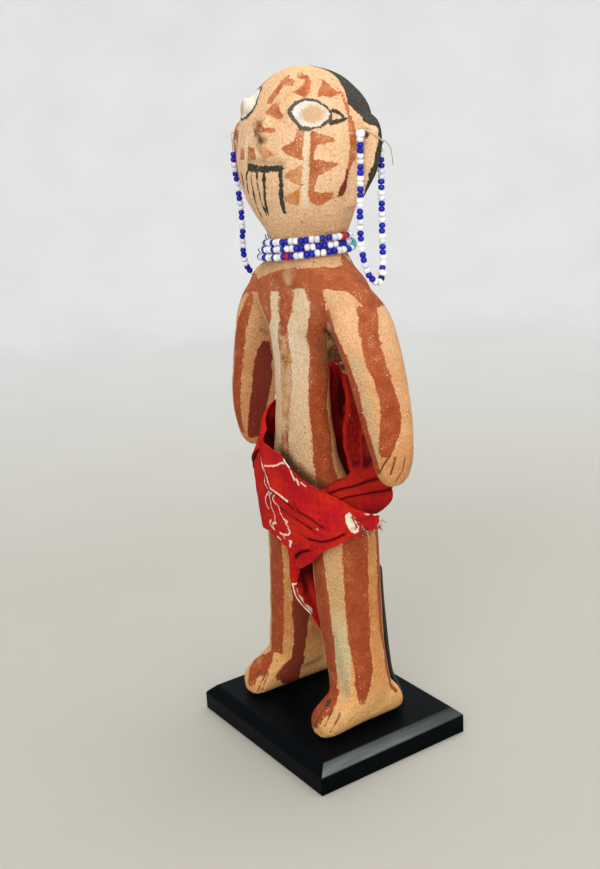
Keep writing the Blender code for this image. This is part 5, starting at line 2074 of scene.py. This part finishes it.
class FIGURE_OT_hip_cloth(bpy.types.Operator):
    """Wind, fold and print the cotton cloth"""

    bl_idname = "pottery_figure.hip_cloth"
    bl_label = "Hip Cloth"

    def execute(self, context):
        cotton = printed_cotton(context.scene.figure_cloth)
        u, v, turn, share = cloth_grid()
        layer = np.interp(turn, (24.0, 60.0, 330.0, 375.0, 442.0), (-1.1, -0.7, -0.5, 0.7, 1.0))
        lift = layer + fold_lift(u, v, WRAP_FOLDS) + fold_lift(u, v, PANEL_RIDGE)
        lift = lift + 1.8 * back_hollow(turn, v)
        lift = lift + panel_share(turn, v) * np.interp(v, (118.0, 130.0), (-0.9, 1.3))
        flat_points = np.column_stack((u.ravel(), v.ravel(), np.zeros(u.size)))
        lift = lift + 0.22 * unevenness(flat_points, 7.0, 33).reshape(u.shape)
        tuck = np.interp(turn, (100.0, 330.0, 345.0), (1.3, 1.3, -0.6))
        lift = lift - tuck * rise(share - 0.955, 0.045) ** 2
        lift = np.where(turn < 100.0, np.minimum(lift, 0.9), lift)
        item = sheet_piece("hip_cloth_wrap", wrap_place(turn, v, lift), np.stack((u, v), axis=-1),
                           cotton)
        mesh = item.data
        white = np.full(u.shape, 9.0)
        for half, line in WRAP_PRINT:
            stations = rows_between(on_cloth(line, half), 4)
            white = np.minimum(white, line_distance(u, v, stations))
        leaf = outline_distance(u, v, on_cloth(LEAF))
        for vein in LEAF_VEINS:
            leaf = np.maximum(leaf, -line_distance(u, v, on_cloth(vein, 0.22)))
        write_field(mesh, "white", np.minimum(white, leaf).ravel())
        hip = 0.42 * np.interp(turn, (40.0, 48.0, 120.0, 126.0), (0.0, 1.0, 1.0, 0.0))
        shade = np.maximum(fold_shade(u, v, WRAP_FOLDS), np.maximum(panel_shade(turn, v), hip))
        write_field(mesh, "shade", shade.ravel())
        # Painted shade of the back layer's hollow.
        write_field(mesh, "inner", np.clip(1.6 * back_hollow(turn, v), 0.0, 1.0).ravel())
        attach(item, "root")
        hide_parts("hip_cloth")
        return {"FINISHED"}


class FIGURE_OT_cloth_ends(bpy.types.Operator):
    """Fold the hanging corner and the frayed flap, and fray the edges"""

    bl_idname = "pottery_figure.cloth_ends"
    bl_label = "Cloth Ends"

    def execute(self, context):
        cotton = bpy.data.objects["hip_cloth_wrap"].data.materials[0]
        points, flat, edge, shade = corner_grid()
        tail = sheet_piece("hip_cloth_corner", points, flat, cotton)
        write_field(tail.data, "white", edge.ravel())
        write_field(tail.data, "shade", shade.ravel())
        u, v, points = flap_grid()
        flap = sheet_piece("hip_cloth_flap", points, np.stack((u, v), axis=-1), cotton)
        dashes = np.full(u.shape, 9.0)
        for half, line in FLAP_PRINT:
            dashes = np.minimum(dashes, line_distance(u, v, on_cloth(line, half)))
        write_field(flap.data, "white", dashes.ravel())
        fray = frayed_threads()
        sizes = ((tail, (0.018, 0.040), 0.0004, []), (flap, (0.013, 0.010), 0.00007, [fray]))
        for item, flat_size, area, parts in sizes:
            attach(item, "root")
            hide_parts("hip_cloth")
            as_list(parts)
        fray.data.materials.append(cotton)
        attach(fray, "root")
        return {"FINISHED"}


# Camera, in millimetres in the object's own frame: its place, and the directions
# to its right, up and back.
CAMERA_PLACE = (335.8, -233.2, 242.3)
CAMERA_RIGHT = (0.5708, 0.8193, -0.0542)
CAMERA_UP = (-0.2097, 0.2093, 0.9551)
CAMERA_BACK = (0.7938, -0.5338, 0.2913)
CAMERA_LENS = 48.5
# The light's usual target and the sweep's sizes, in metres.
FIGURE_MIDDLE = (0.0, 0.0, 0.13)
SWEEP_FLAT = 0.7
SWEEP_CURVE = 0.5
SWEEP_WALL = 0.7


def sweep_grid():
    """Seamless floor: flat round the middle, then a quarter circle up to a round wall."""
    flat = np.linspace(0.0, SWEEP_FLAT, 12)[1:]
    bend = np.linspace(0.0, math.pi / 2.0, 24)[1:]
    radius = np.concatenate((flat, SWEEP_FLAT + SWEEP_CURVE * np.sin(bend),
                             (SWEEP_FLAT + SWEEP_CURVE,)))
    height = np.concatenate((np.zeros(len(flat)), SWEEP_CURVE * (1.0 - np.cos(bend)),
                             (SWEEP_CURVE + SWEEP_WALL,)))
    turn = full_turn(96)
    radius = radius[:, None]
    return grid_points(radius * np.cos(turn), radius * np.sin(turn), height[:, None])


def area_light(name, place, size, power, colour, target=FIGURE_MIDDLE):
    """Large soft light that faces the figure's middle, or another target."""
    lamp = bpy.data.lights.new(name, "AREA")
    lamp.shape = "DISK"
    lamp.size = size
    lamp.energy = power
    lamp.color = colour
    item = placed(name, lamp)
    aim = Vector(target) - Vector(place)
    facing = aim.to_track_quat("-Z", "Y").to_matrix().to_4x4()
    item.matrix_world = Matrix.Translation(place) @ facing


class FIGURE_OT_stage(bpy.types.Operator):
    """Set up the floor, the lights and the camera"""

    bl_idname = "pottery_figure.stage"
    bl_label = "Stage"

    def execute(self, context):
        settings = context.scene.figure_stage
        grid = sweep_grid()
        rows, columns = grid.shape[:2]
        floor = mesh_piece("sweep", grid / MM, tube_faces(rows, columns, ends=False)
                           + [list(range(columns))[::-1]], recalculate=True)
        floor.data.flip_normals()
        floor.data.materials.append(studio_floor(settings))

        world = bpy.data.worlds.new("room")
        world.use_nodes = True
        background = world.node_tree.nodes["Background"]
        background.inputs["Color"].default_value = (0.96, 0.98, 1.0, 1.0)
        background.inputs["Strength"].default_value = settings.room_light
        context.scene.world = world
        context.scene.view_settings.view_transform = "Standard"
        area_light("key", (0.60, -0.66, 0.66), 0.8, settings.key_power, (1.0, 0.99, 0.98))
        area_light("side", (0.95, 0.02, 0.42), 0.7, settings.side_power, (1.0, 0.99, 0.97))
        area_light("top", (0.05, 0.25, 1.1), 0.9, settings.top_power, (0.96, 0.98, 1.0))
        area_light("wall", (-0.2, 0.15, 1.1), 0.6, settings.wall_power, (0.90, 0.95, 1.0),
                   (-1.1, 0.75, 0.35))

        lens = bpy.data.cameras.new("camera")
        lens.lens = CAMERA_LENS
        lens.sensor_width = 36.0
        lens.clip_start = 0.01
        camera = placed("camera", lens)
        turn = Matrix((CAMERA_RIGHT, CAMERA_UP, CAMERA_BACK)).transposed().to_4x4()
        camera.matrix_world = Matrix.Translation(Vector(CAMERA_PLACE) * MM) @ turn
        context.scene.camera = camera
        return {"FINISHED"}


class FIGURE_PT_panel(bpy.types.Panel):
    """Settings and steps of the figure"""

    bl_idname = "FIGURE_PT_panel"
    bl_label = "Pottery Figure"
    bl_space_type = "VIEW_3D"
    bl_region_type = "UI"
    bl_category = "Figure"

    def draw(self, context):
        for group in SETTINGS:
            settings = getattr(context.scene, group)
            box = self.layout.box()
            for name in settings.__annotations__:
                box.prop(settings, name)
        for step in STEPS:
            self.layout.operator(step.bl_idname)


SETTINGS = {
    "figure_clay": FIGURE_ClaySettings,
    "figure_base": FIGURE_BaseSettings,
    "figure_cloth": FIGURE_ClothSettings,
    "figure_stage": FIGURE_StageSettings,
}
STEPS = (
    FIGURE_OT_stage,
    FIGURE_OT_display_base,
    FIGURE_OT_clay_body,
    FIGURE_OT_necklace,
    FIGURE_OT_ear_loops,
    FIGURE_OT_hip_cloth,
    FIGURE_OT_cloth_ends,
)


def register():
    for name, group in SETTINGS.items():
        bpy.utils.register_class(group)
        setattr(bpy.types.Scene, name, bpy.props.PointerProperty(type=group))
    for step in STEPS:
        bpy.utils.register_class(step)
    bpy.utils.register_class(FIGURE_PT_panel)


def unregister():
    bpy.utils.unregister_class(FIGURE_PT_panel)
    for step in reversed(STEPS):
        bpy.utils.unregister_class(step)
    for name, group in SETTINGS.items():
        delattr(bpy.types.Scene, name)
        bpy.utils.unregister_class(group)


def main():
    register()
    for step in STEPS:
        group, name = step.bl_idname.split(".")
        getattr(getattr(bpy.ops, group), name)()


if __name__ == "__main__":
    main()
